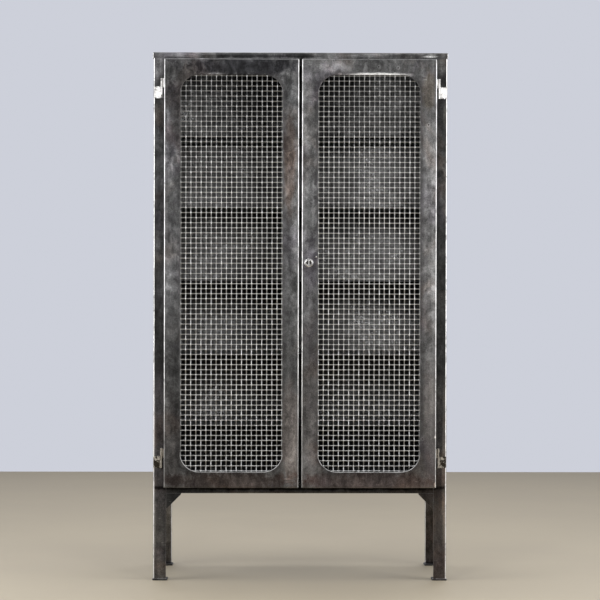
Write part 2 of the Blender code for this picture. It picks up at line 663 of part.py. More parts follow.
def make_lock_case(parent):
    near = DOOR_INNER + DOOR_SHEET + CLEARANCE
    front = DOOR_FRONT + DOOR_SHEET + CLEARANCE
    inner_back = lock_bolt_y() + BOLT_THICKNESS / 2 + BOLT_PLAY
    size = Vector((CASE_WIDTH, inner_back + CASE_WALL - front, CASE_BELOW + CASE_ABOVE))
    place = Vector((near + CASE_WIDTH / 2, front + size.y / 2, LOCK_Z + (CASE_ABOVE - CASE_BELOW) / 2))
    case = part("lock_case", box(size), place, DARK_STEEL, parent)
    hollow = box((size.x - 2 * CASE_WALL, size.y, size.z - 2 * CASE_WALL))
    cut(case, tool("case_hollow", hollow, place - Vector((0.0, CASE_WALL, 0.0))))
    mouth = box((4 * CASE_WALL, BOLT_THICKNESS + 2 * BOLT_PLAY, BOLT_HEIGHT + 2 * BOLT_PLAY))
    cut(case, tool("case_mouth", mouth, (near, lock_bolt_y(), LOCK_Z + BOLT_RISE)))


def make_rivet(skin, parent):
    """A domed rivet through the skin, in line with the mesh border behind it."""
    shank_end = -DOOR_SHEET - CLEARANCE
    profile = dome(0.0, RIVET_HEAD, 0.0, RIVET_DOME, 3)
    profile += [(RIVET_SHANK, 0.0), (RIVET_SHANK, shank_end), (0.0, shank_end)]
    place = Vector((RIVET_X, DOOR_FRONT - CLEARANCE, RIVET_Z))
    turned("mesh_rivet", profile, 16, place, NICKEL, parent, closed=False)
    hole = cylinder(RIVET_SHANK + CLEARANCE, 4 * DOOR_SHEET, 16, FACING_FRONT)
    cut(skin, tool("rivet_hole", hole, (RIVET_X, DOOR_FRONT, RIVET_Z)))


def make_slide_bolts(parent):
    """Two flat bolts in guides on the back of the left door, drawn clear of the header and the sill."""
    x = -(DOOR_INNER + SLIDE_INSET)
    bolt_front = POST_FRONT + RAIL_WALL + SLIDE_RAIL_GAP
    bolt_y = bolt_front + SLIDE_THICKNESS / 2
    guide_front = DOOR_BACK + CLEARANCE
    guide_rear = bolt_front + SLIDE_THICKNESS + SLIDE_PLAY + GUIDE_WALL
    slot_size = (SLIDE_WIDTH + 2 * SLIDE_PLAY, SLIDE_THICKNESS + 2 * SLIDE_PLAY, 2 * GUIDE_HEIGHT)
    ends = {"upper": (HEADER_BASE - SLIDE_REST_GAP, -1), "lower": (SILL_TOP + SLIDE_REST_GAP, 1)}
    for level, (tip, inward) in ends.items():
        bar_place = Vector((x, bolt_y, tip + inward * SLIDE_LENGTH / 2))
        bar = part(f"slide_bolt_{level}", box((SLIDE_WIDTH, SLIDE_THICKNESS, SLIDE_LENGTH)), bar_place,
                   DARK_STEEL, parent)
        knob_length = SLIDE_KNOB_LENGTH + SLIDE_THICKNESS / 2
        knob = cylinder(SLIDE_KNOB_RADIUS, knob_length, 16, FACING_FRONT)
        knob_z = tip + inward * (SLIDE_LENGTH - SLIDE_KNOB_INSET)
        join(bar, tool(f"slide_knob_{level}", knob, (x, bolt_y + knob_length / 2, knob_z)))

        guide_size = (GUIDE_WIDTH, guide_rear - guide_front, GUIDE_HEIGHT)
        guide_z = tip + inward * (GUIDE_INSET + GUIDE_HEIGHT / 2)
        guide_place = (x, (guide_front + guide_rear) / 2, guide_z)
        guide = part(f"bolt_guide_{level}", box(guide_size), guide_place, DARK_STEEL, parent)
        cut(guide, tool(f"guide_slot_{level}", box(slot_size), (x, bolt_y, guide_z)))


def make_doors():
    pivots = {side: pivot(f"{side}_door_pivot", (outward * HINGE_X, HINGE_Y, 0.0))
              for side, outward in SIDES.items()}
    skins = {}
    for side, outward in SIDES.items():
        skins[side] = make_door_skin(side, outward, pivots[side])
        make_mesh_panel(side, outward, pivots[side])
    make_hinges(pivots)
    make_lock(skins["right"], pivots["right"])
    make_slide_bolts(pivots["left"])


clear_scene()
PARTS = new_collection("medical_cabinet")
TOOLS = new_collection("medical_cabinet_tools")
make_posts()
make_cap()
make_panels()
make_rails()
make_shelves()
make_doors()
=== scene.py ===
"""Looks of the medical cabinet: stripped and waxed steel, woven wire doors, worn hinges and a turn lock.

Metres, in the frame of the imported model. Front is -Y and up is +Z.
"""
import json
import math
import random

import bpy
from mathutils import Matrix, Vector

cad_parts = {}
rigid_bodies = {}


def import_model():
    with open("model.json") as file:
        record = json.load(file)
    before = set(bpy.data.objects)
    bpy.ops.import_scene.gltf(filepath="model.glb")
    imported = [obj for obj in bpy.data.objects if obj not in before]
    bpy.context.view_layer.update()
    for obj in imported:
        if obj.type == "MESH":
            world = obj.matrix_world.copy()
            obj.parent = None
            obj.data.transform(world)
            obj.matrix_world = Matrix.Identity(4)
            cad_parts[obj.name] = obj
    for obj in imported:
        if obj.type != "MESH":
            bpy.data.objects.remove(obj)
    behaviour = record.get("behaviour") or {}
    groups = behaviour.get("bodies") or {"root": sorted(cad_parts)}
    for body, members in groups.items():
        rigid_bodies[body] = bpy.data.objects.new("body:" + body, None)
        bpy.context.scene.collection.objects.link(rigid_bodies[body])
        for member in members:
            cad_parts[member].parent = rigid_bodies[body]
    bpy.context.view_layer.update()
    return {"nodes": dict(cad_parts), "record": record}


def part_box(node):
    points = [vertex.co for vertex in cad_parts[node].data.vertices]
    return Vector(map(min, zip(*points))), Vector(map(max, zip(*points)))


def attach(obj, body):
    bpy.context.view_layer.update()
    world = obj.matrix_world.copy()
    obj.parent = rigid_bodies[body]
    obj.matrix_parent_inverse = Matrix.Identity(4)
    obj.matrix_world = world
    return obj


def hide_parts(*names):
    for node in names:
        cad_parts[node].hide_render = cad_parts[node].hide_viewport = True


# Camera, fitted to the photograph's own edges, with angles in degrees and its lens in millimetres
CAMERA_PLACE = (-0.0691, -6.5621, 0.9251)
CAMERA_YAW = 0.6145
CAMERA_PITCH = -0.6154
CAMERA_ROLL = 0.121
CAMERA_LENS = 125.7
CAMERA_SENSOR = 36.0

# Stage
FLOOR_HALF_WIDTH = 9.0
FLOOR_REACH = 3.4
FLOOR_COLOUR = (0.56, 0.49, 0.37, 1.0)
FLOOR_CLOUD = (0.52, 0.45, 0.335, 1.0)
WALL_COLOUR = (0.61, 0.63, 0.70, 1.0)
SIDE_COLOUR = (0.74, 0.75, 0.78, 1.0)
FRONT_COLOUR = (0.13, 0.13, 0.135, 1.0)
WORLD_FILL = 0.35
WORLD_STOPS = [(0.0, FRONT_COLOUR), (0.30, FRONT_COLOUR), (0.48, SIDE_COLOUR), (0.75, WALL_COLOUR)]

# Lamps: place and aim, width and height, and watts. Those in the first list stand on both sides.
LAMP_PAIRS = [
    ("front", (0.42, -1.70, 1.32), (0.25, 0.0, 0.8), (0.36, 0.36), 7.4),
    ("side", (2.6, -1.2, 1.3), (0.4, -0.1, 0.9), (1.6, 2.2), 38.0),
    ("rear", (1.8, 3.0, 2.4), (0.0, 0.2, 0.8), (1.5, 1.5), 14.0),
]
TOP_LAMP = ("above", (0.0, 0.3, 3.6), (0.0, 0.1, 0.0), (1.8, 1.8), 44.0)

# Door sheet, as folded
DOOR_SHEET = 0.0015
DOOR_BEND = 0.005
DOOR_BACK_BEND = 0.0022
DOOR_CORNER = 0.003
DOOR_RETURN = 0.014
DOOR_BORDER = 0.050
OPENING_CORNER = 0.058
OPENING_RIM = 0.004
OPENING_BEND = 0.0022
PLUG_HOLE = 0.0083
RIVET_HOLE = 0.0017
HOLE_REACH = 0.006
BOLT_SLOT = (0.012, 0.0062, 0.0142)

# Steps of the door's corners and bends
DOOR_CORNER_STEPS = 14
BEND_STEPS = 6
BACK_BEND_STEPS = 3
ROLL_STEPS = 5
INNER_STEPS = 3
INNER_BACK_STEPS = 2

# Spot welds pressed into the right door, as x and z, and the ball that presses them
DOOR_SPOTS = [(0.237, 1.5654), (0.296, 1.5625), (0.389, 1.3895), (0.372, 0.4345)]
SPOT_BALL = 0.009
SPOT_DEPTH = 0.0005
SPOT_SPREAD = 60
SPOT_STEPS = 5
SPOT_TIP = 0.0003
SPOT_SIDES = 20

# Woven wire
WIRE_RADIUS = 0.0015
WIRE_PITCH = 0.0154
COLUMN_CRIMP = 0.0021
ROW_CRIMP = 0.0011
WIRE_PLANE = 0.00565
WIRE_ANCHOR = 0.003
WIRE_SIDES = 7
WIRE_STEPS = 4
WIRE_SWAY = 0.0003
BORDER_BAR = 0.008
BORDER_ROUND = 0.0012
BORDER_CORNER = 0.0025
BORDER_STEPS = 3

# Folded cap
CAP_SHEET = 0.0015
CAP_BEND = 0.003
CAP_CORNER = 0.003
CAP_CORNER_STEPS = 6
CAP_BEND_STEPS = 5
CAP_INNER_STEPS = 3

# Weld beads at the feet: their ripples, and how each ring's radius varies
BEAD_RADIUS = 0.0014
BEAD_RIPPLE = 0.0032
RIPPLE_STEPS = 4
BEAD_LEVEL = 0.86
BEAD_SWELL = 0.14
BEAD_SCATTER = 0.06
BEAD_END = 0.45
BEAD_SIDES = 10
HEEL_ROOM = 0.007

# Round weld marks: their profile as shares of radius and height, and their rows on the posts
DOME_PROFILE = ((1.0, 0.0), (0.92, 0.45), (0.70, 0.85), (0.35, 0.98), (0.08, 1.0))
DOME_SINK = 0.0003
DOME_SIDES = 14
DOME_RADIUS = 0.0032
DOME_HEIGHT = 0.0004
DOME_PITCH = 0.150
DOME_SCATTER = 0.004
DOME_TOP_ROOM = 0.03
POST_FLANGE = 0.040
PLUG_WELD_RADIUS = 0.0022
PLUG_WELD_INSET = 0.0032
PLUG_WELD_RISES = (0.0, -0.015)
LEAF_FACE = 0.0028

# Rounding of the edges of the carried-over solids, less where their sheet is thin
EDGE_ROUND = 0.0007
EDGE_SEGMENTS = 2
THIN_ROUND = {"shelf": 0.0004, "side_panel": 0.0004, "back_panel": 0.0004, "bottom_pan": 0.0004,
              "lock_case": 0.0004, "lock_plug": 0.0001}
LEAST_CORNER = 0.0004
JOIN_DISTANCE = 0.00002

# Angles in degrees between faces: joined as one flat, shaded as one curve, and shaded or rounded as an edge
FLAT_ANGLE = 0.5
CURVE_ANGLE = 38
EDGE_ANGLE = 50
FLAT_WEIGHT = 100

# Share of a zone's reach that is whole, before it fades, for zones of patina and of painted light and shade
ZONE_CORE = 0.45

# Patina of doors, cap and frame, and painted light and shade on doors, frame and the inner back: middle and
# reach as x and z, and what the colour is multiplied by
# On the doors the zones are partly patina and partly painted light and shade, such as the darker top and
# bottom rails
DOOR_PATINA_AND_LIGHT = [
    ((-0.17, 1.566), (0.23, 0.04), (0.37, 0.37, 0.4)),
    # Painted highlights: bright bands along the top rims of both openings
    ((0.233, 1.5405), (0.125, 0.01), (8.0, 8.0, 7.8)),
    ((-0.259, 1.5405), (0.034, 0.009), (3.4, 3.4, 3.3)),
    ((-0.392, 1.4), (0.034, 0.18), (0.61, 0.61, 0.63)),
    ((-0.033, 1.4), (0.034, 0.18), (0.74, 0.75, 0.76)),
    ((-0.392, 0.95), (0.034, 0.25), (1.12, 1.12, 1.14)),
    # Painted shade: the right door's top edge darkened under the cap
    ((0.22, 1.5885), (0.23, 0.0035), (0.5, 0.5, 0.5)),
    ((-0.21, 0.305), (0.3, 0.038), (0.65, 0.55, 0.52)),
    ((0.21, 0.305), (0.3, 0.038), (0.91, 0.76, 0.73)),
    # Painted reflection: the right door's outer stile made brighter down most of its height
    ((0.395, 1.000), (0.034, 0.76), (1.62, 1.6, 1.6)),
    ((0.395, 0.48), (0.034, 0.24), (1.25, 1.2, 1.18)),
    ((-0.392, 0.42), (0.04, 0.22), (0.91, 0.88, 0.88)),
    ((0.388, 1.49), (0.028, 0.075), (1.08, 0.99, 0.86)),
    ((-0.033, 1.27), (0.022, 0.2), (1.14, 0.97, 0.88)),
    ((-0.033, 0.45), (0.036, 0.21), (2.3, 2.1, 2.0)),
    ((0.03, 0.96), (0.03, 0.1), (0.96, 0.92, 1.00)),
    ((0.03, 0.83), (0.034, 0.15), (1.25, 1.23, 1.25)),
    ((0.036, 0.52), (0.044, 0.26), (1.4, 1.34, 1.32)),
    ((0.105, 1.562), (0.07, 0.022), (1.9, 1.9, 1.9)),
    ((0.022, 1.51), (0.02, 0.07), (1.4, 1.4, 1.4)),
    ((-0.039, 0.3122), (0.017, 0.0011), (3.2, 3.2, 3.1)),
    ((-0.041, 0.303), (0.012, 0.0009), (2.8, 2.8, 2.7)),
    ((0.411, 0.294), (0.004, 0.011), (4.5, 4.5, 4.3)),
    ((0.412, 0.4406), (0.004, 0.006), (4.5, 4.5, 4.3)),
]
CAP_PATINA = [
    ((0.395, 1.5985), (0.028, 0.0045), (5.5, 5.5, 5.4)),
    ((0.402, 1.604), (0.018, 0.0016), (4.0, 4.0, 3.9)),
    ((-0.36, 1.601), (0.07, 0.007), (2.2, 2.2, 2.2)),
    ((-0.16, 1.601), (0.09, 0.01), (0.62, 0.62, 0.63)),
    ((-0.01, 1.601), (0.06, 0.012), (0.4, 0.4, 0.4)),
    ((-0.12, 1.5985), (0.26, 0.0045), (0.45, 0.45, 0.46)),
    ((-0.32, 1.6065), (0.15, 0.0045), (1.9, 1.9, 1.95)),
    ((0.3, 1.6065), (0.15, 0.0045), (1.8, 1.8, 1.8)),
    ((0.2, 1.602), (0.08, 0.006), (1.9, 1.9, 1.9)),
    ((0.3, 1.6), (0.04, 0.01), (0.6, 0.6, 0.6)),
]
BACK_PAINTED_LIGHT_AND_SHADE = [
    # Painted reflection: the right half of the inner sheet made brighter
    ((0.22, 0.9), (0.14, 0.85), (1.18, 1.18, 1.18)),
    # Painted shade: the top compartment darkened under the cap
    ((-0.03, 1.5), (0.38, 0.17), (0.42, 0.42, 0.42)),
]
# On the frame the zones are partly patina and partly painted light and shade
FRAME_PATINA_AND_LIGHT = [
    # Painted shadow: the sill darkened just under the doors
    ((0.0, 0.283), (0.8, 0.0095), (0.12, 0.11, 0.11)),
    # Painted reflection: the sill's lower edge made paler and warmer, as if lit from the floor
    ((0.0, 0.2685), (0.42, 0.003), (1.3, 1.18, 0.92)),
    ((-0.428, 0.1), (0.06, 0.19), (3.0, 2.88, 2.8)),
    ((0.428, 0.1), (0.06, 0.19), (2.15, 1.95, 1.86)),
    # Painted highlights: pale strips down the posts' outer heels, low down
    ((-0.4435, 0.32), (0.008, 0.32), (1.8, 1.8, 1.75)),
    ((0.4425, 0.32), (0.011, 0.32), (2.4, 2.35, 2.2)),
    ((-0.43, 1.572), (0.028, 0.05), (3.4, 3.4, 3.4)),
    ((0.432, 1.576), (0.028, 0.042), (3.8, 3.8, 3.7)),
    # Painted sheen: the lower posts made lighter
    ((-0.428, 0.43), (0.05, 0.26), (2.2, 2.1, 2.2)),
    ((0.428, 0.43), (0.05, 0.26), (1.42, 1.35, 1.32)),
    # Painted shade: the header darkened in the gap above the right door
    ((0.22, 1.594), (0.24, 0.006), (0.4, 0.4, 0.4)),
    ((0.428, 0.95), (0.05, 0.42), (0.66, 0.66, 0.65)),
    ((-0.428, 1.25), (0.05, 0.3), (0.78, 0.78, 0.8)),
    ((-0.44, 1.535), (0.01, 0.03), (1.8, 1.8, 1.8)),
    ((-0.436, 1.43), (0.012, 0.036), (1.8, 1.78, 1.7)),
    ((0.44, 1.42), (0.008, 0.05), (2.0, 1.95, 1.8)),
]

# Sheet steel: greys over the mixed noise, tints, and greys of the bends, bright as wear and as painted
# highlights, and of the opening's lower rim, a painted highlight with wear
STEEL_STOPS = [(0.38, 0.034), (0.45, 0.072), (0.52, 0.140), (0.58, 0.235), (0.65, 0.42)]
BROWN_TINT = (1.20, 0.93, 0.76)
VIOLET_TINT = (1.0, 0.93, 1.06)
VIOLET_SHARE = 0.6
SMUDGE_TINT = (0.52, 0.50, 0.51)
PALE_BAND = 1.35
FRONT_SHADE = 0.05
WORN_HIGHLIGHT_GREY = 0.86
RIM_HIGHLIGHT_GREY = 0.80
RIM_HIGHLIGHT_HEIGHTS = (0.345, 0.410)
SPOT_RING = 0.0075
SPOT_RING_GAIN = 1.7
SPOT_HEART = 0.0033
SPOT_HEART_TINT = (0.22, 0.2, 0.2)

# Inner sheet: its greys, the painted shade in its middle, set to the left and broader higher up, and the
# painted shade low down
SHEET_STOPS = [(0.38, 0.054), (0.50, 0.106), (0.64, 0.20)]
MIDDLE_SHADE_SHIFT = 0.05
MIDDLE_SHADE_CORE = 0.02
MIDDLE_SHADE_HEIGHTS = (1.10, 1.45)
MIDDLE_SHADE_BREADTHS = (0.27, 0.36)
MIDDLE_SHADE_LEVEL = 0.30
LOW_SHADE_HEIGHTS = (0.34, 0.80)
LOW_SHADE_LEVEL = 0.52

# Painted shadow on the inner sheet under each shelf, from the lowest up, and under the cap
SHELF_SHADOW = (0.28, 0.28, 0.28, 0.28, 0.65, 0.28)
SHADOW_START = 0.110
SHADOW_START_LEVEL = 0.90
SHADOW_MIDDLE = 0.050
SHADOW_MIDDLE_GAIN = 0.15
SHADOW_END = 0.0005

# Wire: greys between and on the crossings, brighter on them as wear and as painted highlights, how far a
# crossing reaches, where the flanks are dark with dirt and painted shade, how much darker it is high up, and
# its painted shade low down
WIRE_DULL = [(0.36, 0.40), (0.50, 0.53), (0.62, 0.66)]
WIRE_BRIGHT = [(0.36, 0.84), (0.50, 0.94), (0.62, 0.99)]
CROSSING_REACH = (0.0016, 0.0040)
CROWN_RISE = (0.0032, 0.0022)
HIND_SHARE = 0.72
WIRE_FLANKS = (("X", 0.26, 0.70), ("Z", 0.59, 0.93))
FLANK_DIRT_AND_SHADE_LEVEL = 0.16
HIGH_DARK_HEIGHTS = (1.22, 1.56)
HIGH_DARK_LEVEL = 0.60
WIRE_LOW_SHADE_HEIGHTS = (0.44, 0.52)
WIRE_LOW_SHADE_LEVEL = 0.78

# Nickel: place, grey and warmth over the mixed noise
NICKEL_STOPS = [(0.36, 0.16, 0.06), (0.44, 0.46, 0.03), (0.52, 0.72, 0.015), (0.64, 0.86, 0.01)]

# Old hinges: heights over which they turn browner and darker, as rust and painted shade, where a leaf starts,
# its ragged ends, and colours of age
AGE_AND_SHADE_HEIGHTS = (0.5, 0.9)
LEAF_START = (0.4268, 0.4284)
LEAF_END = (0.0055, 0.0005)
RUST_DARK = (0.09, 0.08, 0.065)
RUST_PALE = (0.95, 0.92, 0.85)
KNUCKLE_TINT = (0.75, 0.71, 0.64)

# Grip bar of the lock: half its width, the depth that the painted shade behind it starts at, and the colour
# of that painted shade
GRIP_HALF = (0.0014, 0.0022)
GRIP_DEPTH = 0.0006
GRIP_SETBACK = 0.0004
GRIP_POCKET_SHADE = (0.15, 0.14, 0.13)

RANDOM = random.Random(41)


def clear_scene():
    for item in list(bpy.data.objects):
        bpy.data.objects.remove(item, do_unlink=True)


class Finish:
    """One material and short calls that add nodes to it."""

    def __init__(self, name):
        self.material = bpy.data.materials.new(name)
        self.material.use_nodes = True
        self.tree = self.material.node_tree
        self.shader = self.tree.nodes["Principled BSDF"]
        self.where = self.add("ShaderNodeTexCoord")

    def add(self, kind, inputs=(), **settings):
        node = self.tree.nodes.new(kind)
        for name, value in settings.items():
            setattr(node, name, value)
        for name, value in dict(inputs).items():
            self.feed(node.inputs[name], value)
        return node

    def feed(self, socket, value):
        if isinstance(value, bpy.types.NodeSocket):
            self.tree.links.new(value, socket)
        else:
            socket.default_value = value

    def place(self, scale=(1.0, 1.0, 1.0), shift=(0.0, 0.0, 0.0), turn=(0.0, 0.0, 0.0)):
        """Coordinates in metres on the piece, stretched and turned."""
        inputs = {"Vector": self.where.outputs["Object"], "Location": shift, "Rotation": turn, "Scale": scale}
        return self.add("ShaderNodeMapping", inputs).outputs["Vector"]

    def axis(self, name, source="Object"):
        """One coordinate in metres, or one part of the normal, in the frame at rest."""
        return self.add("ShaderNodeSeparateXYZ", {"Vector": self.where.outputs[source]}).outputs[name]

    def noise(self, place, scale, detail=5.0, roughness=0.6, distortion=0.0):
        inputs = {"Vector": place, "Scale": scale, "Detail": detail, "Roughness": roughness,
                  "Distortion": distortion}
        return self.add("ShaderNodeTexNoise", inputs).outputs["Fac"]

    def span(self, value, low, high, to_low=0.0, to_high=1.0, smooth=True):
        """A value between low and high, carried over to lie between two others."""
        inputs = {"Value": value, "From Min": low, "From Max": high, "To Min": to_low, "To Max": to_high}
        kind = "SMOOTHSTEP" if smooth else "LINEAR"
        return self.add("ShaderNodeMapRange", inputs, interpolation_type=kind).outputs["Result"]

    def calc(self, operation, first, second=0.0):
        node = self.add("ShaderNodeMath", operation=operation)
        self.feed(node.inputs[0], first)
        self.feed(node.inputs[1], second)
        return node.outputs[0]

    def size_of(self, value):
        """A value without its sign."""
        return self.calc("ABSOLUTE", value)

    def times(self, result, *others):
        """The product of values."""
        for value in others:
            result = self.calc("MULTIPLY", result, value)
        return result

    def total(self, *shares):
        """The sum of values, each with its share."""
        parts = [self.calc("MULTIPLY", value, share) for value, share in shares]
        result = parts[0]
        for part in parts[1:]:
            result = self.calc("ADD", result, part)
        return result

    def ramp(self, value, stops):
        node = self.add("ShaderNodeValToRGB", {"Fac": value})
        fill_ramp(node, stops)
        return node.outputs["Color"]

    def blend(self, factor, first, second, mode="MIX"):
        node = self.add("ShaderNodeMix", data_type="RGBA", blend_type=mode)
        self.feed(node.inputs[0], factor)
        self.feed(node.inputs[6], first)
        self.feed(node.inputs[7], second)
        return node.outputs[2]

    def shade(self, factor, colour, by):
        """A colour multiplied by another, as far as the factor says."""
        return self.blend(factor, colour, by, "MULTIPLY")

    def bends(self, flat=0.985, worn=0.86):
        """1 on bends and rounded edges of pieces that stand square in the frame, 0 on flat faces."""
        along = [self.size_of(self.axis(name, "Normal")) for name in "XYZ"]
        most = self.calc("MAXIMUM", self.calc("MAXIMUM", along[0], along[1]), along[2])
        return self.span(most, worn, flat, 1.0, 0.0)

    def zone(self, middle, reach, ragged):
        """1 round a place given as x and z, falling to 0 at a ragged edge."""
        scale = (1 / reach[0], 0.0, 1 / reach[1])
        shift = (-middle[0] / reach[0], 0.0, -middle[1] / reach[1])
        place = self.place(scale, shift)
        away = self.add("ShaderNodeVectorMath", {0: place}, operation="LENGTH").outputs["Value"]
        return self.span(self.calc("ADD", away, ragged), ZONE_CORE, 1.0, 1.0, 0.0)

    def from_opening(self):
        """How far a point on a door is from the edge of its opening."""
        low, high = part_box("right_door_skin")
        middle, half = (low + high) / 2, (high - low) / 2
        straight = (half.x - DOOR_BORDER - OPENING_CORNER, half.z - DOOR_BORDER - OPENING_CORNER)
        across = self.calc("SUBTRACT", self.size_of(self.axis("X")), middle.x)
        across = self.calc("SUBTRACT", self.size_of(across), straight[0])
        up = self.size_of(self.calc("SUBTRACT", self.axis("Z"), middle.z))
        up = self.calc("SUBTRACT", up, straight[1])
        corner = [self.calc("POWER", self.calc("MAXIMUM", value, 0.0), 2.0) for value in (across, up)]
        return self.calc("SUBTRACT", self.calc("SQRT", self.calc("ADD", *corner)), OPENING_CORNER)

    def bump(self, height, strength, distance):
        inputs = {"Height": height, "Strength": strength, "Distance": distance}
        return self.add("ShaderNodeBump", inputs).outputs["Normal"]

    def close(self, colour, roughness, normal, metallic):
        self.feed(self.shader.inputs["Base Color"], colour)
        self.feed(self.shader.inputs["Roughness"], roughness)
        self.feed(self.shader.inputs["Normal"], normal)
        self.shader.inputs["Metallic"].default_value = metallic
        return self.material


def fill_ramp(node, stops):
    elements = node.color_ramp.elements
    while len(elements) < len(stops):
        elements.new(0.5)
    for element, (position, colour) in zip(elements, stops):
        element.position = position
        element.color = colour


def grey(value, warmth=0.0):
    """A linear grey, warmer or cooler."""
    return (value * (1 + warmth), value, value * (1 - warmth), 1.0)


def grey_stops(stops, tone=1.0):
    return [(position, grey(value * tone)) for position, value in stops]


def tint(colour):
    return tuple(colour) + (1.0,)


def add_cloud_tints(finish, colour, rust):
    """Brown and violet clouds over the grey."""
    brown = finish.noise(finish.place(shift=(5.0, 2.0, 7.0)), 5.0, 5.0, 0.65, 0.8)
    colour = finish.shade(finish.times(finish.span(brown, 0.48, 0.68), rust), colour, tint(BROWN_TINT))
    violet = finish.noise(finish.place(shift=(1.0, 9.0, 4.0)), 6.0, 5.0, 0.6, 0.8)
    violet = finish.times(finish.span(violet, 0.50, 0.70), VIOLET_SHARE)
    return finish.shade(violet, colour, tint(VIOLET_TINT))


def add_specks(finish, colour, tone, patch):
    """Pale dots, dark pits and long scuffs."""
    speck = finish.noise(finish.place(shift=(4.0, 6.0, 1.0)), 520.0, 2.0, 0.6)
    dots = finish.times(finish.span(speck, 0.64, 0.72), 0.20)
    pits = finish.times(finish.span(speck, 0.30, 0.38, 1.0, 0.0), 0.55)
    colour = finish.blend(dots, colour, grey(0.5 * tone))
    colour = finish.blend(pits, colour, grey(0.02 * tone))
    scuff = finish.noise(finish.place((14.0, 14.0, 260.0), (2.0, 0.0, 1.0), (0.3, 0.5, 0.2)), 1.0, 2.0, 0.5)
    scuff = finish.times(finish.span(scuff, 0.66, 0.74), finish.span(patch, 0.52, 0.64))
    return finish.blend(finish.times(scuff, 0.35), colour, grey(0.42))


def add_opening_marks(finish, colour, cloud, patch):
    """Dark smudges beside a door's opening, and a paler band farther from it."""
    away = finish.calc("ADD", finish.from_opening(), finish.span(patch, 0.3, 0.7, -0.011, 0.011, False))
    smudge = finish.times(finish.span(away, 0.002, 0.022, 1.0, 0.0), finish.span(cloud, 0.40, 0.60))
    colour = finish.shade(smudge, colour, tint(SMUDGE_TINT))
    pale = finish.times(finish.span(away, 0.026, 0.048), 0.7)
    return finish.shade(pale, colour, grey(PALE_BAND))


def add_spot_marks(finish, colour, ragged):
    """A pale ring with a dark heart at each spot weld of the right door."""
    for spot in DOOR_SPOTS:
        ring = finish.zone(spot, (SPOT_RING, SPOT_RING), ragged)
        colour = finish.shade(ring, colour, grey(SPOT_RING_GAIN))
        heart = finish.zone(spot, (SPOT_HEART, SPOT_HEART), 0.0)
        colour = finish.shade(heart, colour, tint(SPOT_HEART_TINT))
    return colour


def worn_and_highlit_bends(finish, broken, wear, door):
    """How far bends are made bright, as wear and as painted highlights: upright ones most, and on a door less
    low down and at the opening.
    """
    edge = finish.times(finish.bends(), finish.span(broken, 0.0, 1.0, 0.45, 1.0, False))
    level = finish.size_of(finish.axis("Z", "Normal"))
    edge = finish.times(edge, finish.span(level, 0.25, 0.60, 1.0, 0.04), wear)
    if door:
        low_wear = finish.span(finish.axis("X"), -0.25, 0.35, 0.22, 0.52)
        edge = finish.times(edge, finish.span(finish.axis("Z"), 0.36, 0.70, low_wear, 1.0))
        edge = finish.times(edge, finish.span(finish.from_opening(), 0.004, 0.012, 0.16, 1.0))
    return edge


def steel(name, tone=1.0, roughness=0.50, wear=1.0, rust=0.4, patina_and_light=(), door=False, painted_shade_front=False):
    """Stripped and waxed steel: cloudy, streaked and speckled, with faint tints, and bends made bright as
    wear and as painted highlights.

    A door has marks of its own. A piece with a painted-shade front is darkened in front and underneath, as
    painted shade.
    """
    finish = Finish(name)
    cloud = finish.noise(finish.place((1.0, 1.0, 0.5)), 8.5, 8.0, 0.68, 0.35)
    patch = finish.noise(finish.place((1.0, 1.0, 0.75), (3.1, 1.7, 0.4)), 42.0, 6.0, 0.68, 0.5)
    grain = finish.noise(finish.place(), 330.0, 3.0, 0.65)
    streak = finish.noise(finish.place((95.0, 95.0, 3.5)), 1.0, 4.0, 0.62)
    mixed = finish.total((cloud, 0.40), (patch, 0.32), (grain, 0.17), (streak, 0.11))
    colour = finish.ramp(mixed, grey_stops(STEEL_STOPS, tone))
    colour = add_cloud_tints(finish, colour, rust)
    colour = add_specks(finish, colour, tone, patch)

    if door:
        colour = add_opening_marks(finish, colour, cloud, patch)
    ragged = finish.span(patch, 0.25, 0.75, -0.35, 0.35, False)
    # Zones of patina, which on doors and frame also paint light and shade
    for middle, reach, factor in patina_and_light:
        colour = finish.shade(finish.zone(middle, reach, ragged), colour, tint(factor))
    if door:
        colour = add_spot_marks(finish, colour, ragged)
    # Painted shade: front lips and undersides darkened
    if painted_shade_front:
        lip, under = [finish.span(finish.axis(name, "Normal"), -0.75, -0.35, 1.0, 0.0) for name in "YZ"]
        colour = finish.shade(finish.calc("MAXIMUM", lip, under), colour, grey(FRONT_SHADE))

    broken = finish.noise(finish.place(shift=(8.0, 3.0, 2.0)), 38.0, 5.0, 0.7)
    broken = finish.span(broken, 0.32, 0.54)
    edge = worn_and_highlit_bends(finish, broken, wear, door)
    # Bends brightened: wear, and painted highlights strongest on upright bends
    colour = finish.blend(edge, colour, grey(WORN_HIGHLIGHT_GREY, 0.005))
    if door:
        # Painted highlight, with wear: the openings' lower rims made paler
        rim = finish.span(finish.from_opening(), 0.0012, 0.0026, 1.0, 0.0)
        rim = finish.times(rim, finish.span(finish.axis("Z"), *RIM_HIGHLIGHT_HEIGHTS, 0.58, 0.0))
        rim = finish.times(rim, finish.span(broken, 0.0, 1.0, 0.35, 1.0, False))
        colour = finish.blend(rim, colour, grey(RIM_HIGHLIGHT_GREY))

    dull = finish.span(mixed, 0.38, 0.64, roughness + 0.10, roughness - 0.08)
    dull = finish.calc("SUBTRACT", dull, finish.times(edge, 0.14))
    height = finish.total((grain, 0.5), (patch, 1.0))
    return finish.close(colour, dull, finish.bump(height, 0.25, 0.0006), 0.92)


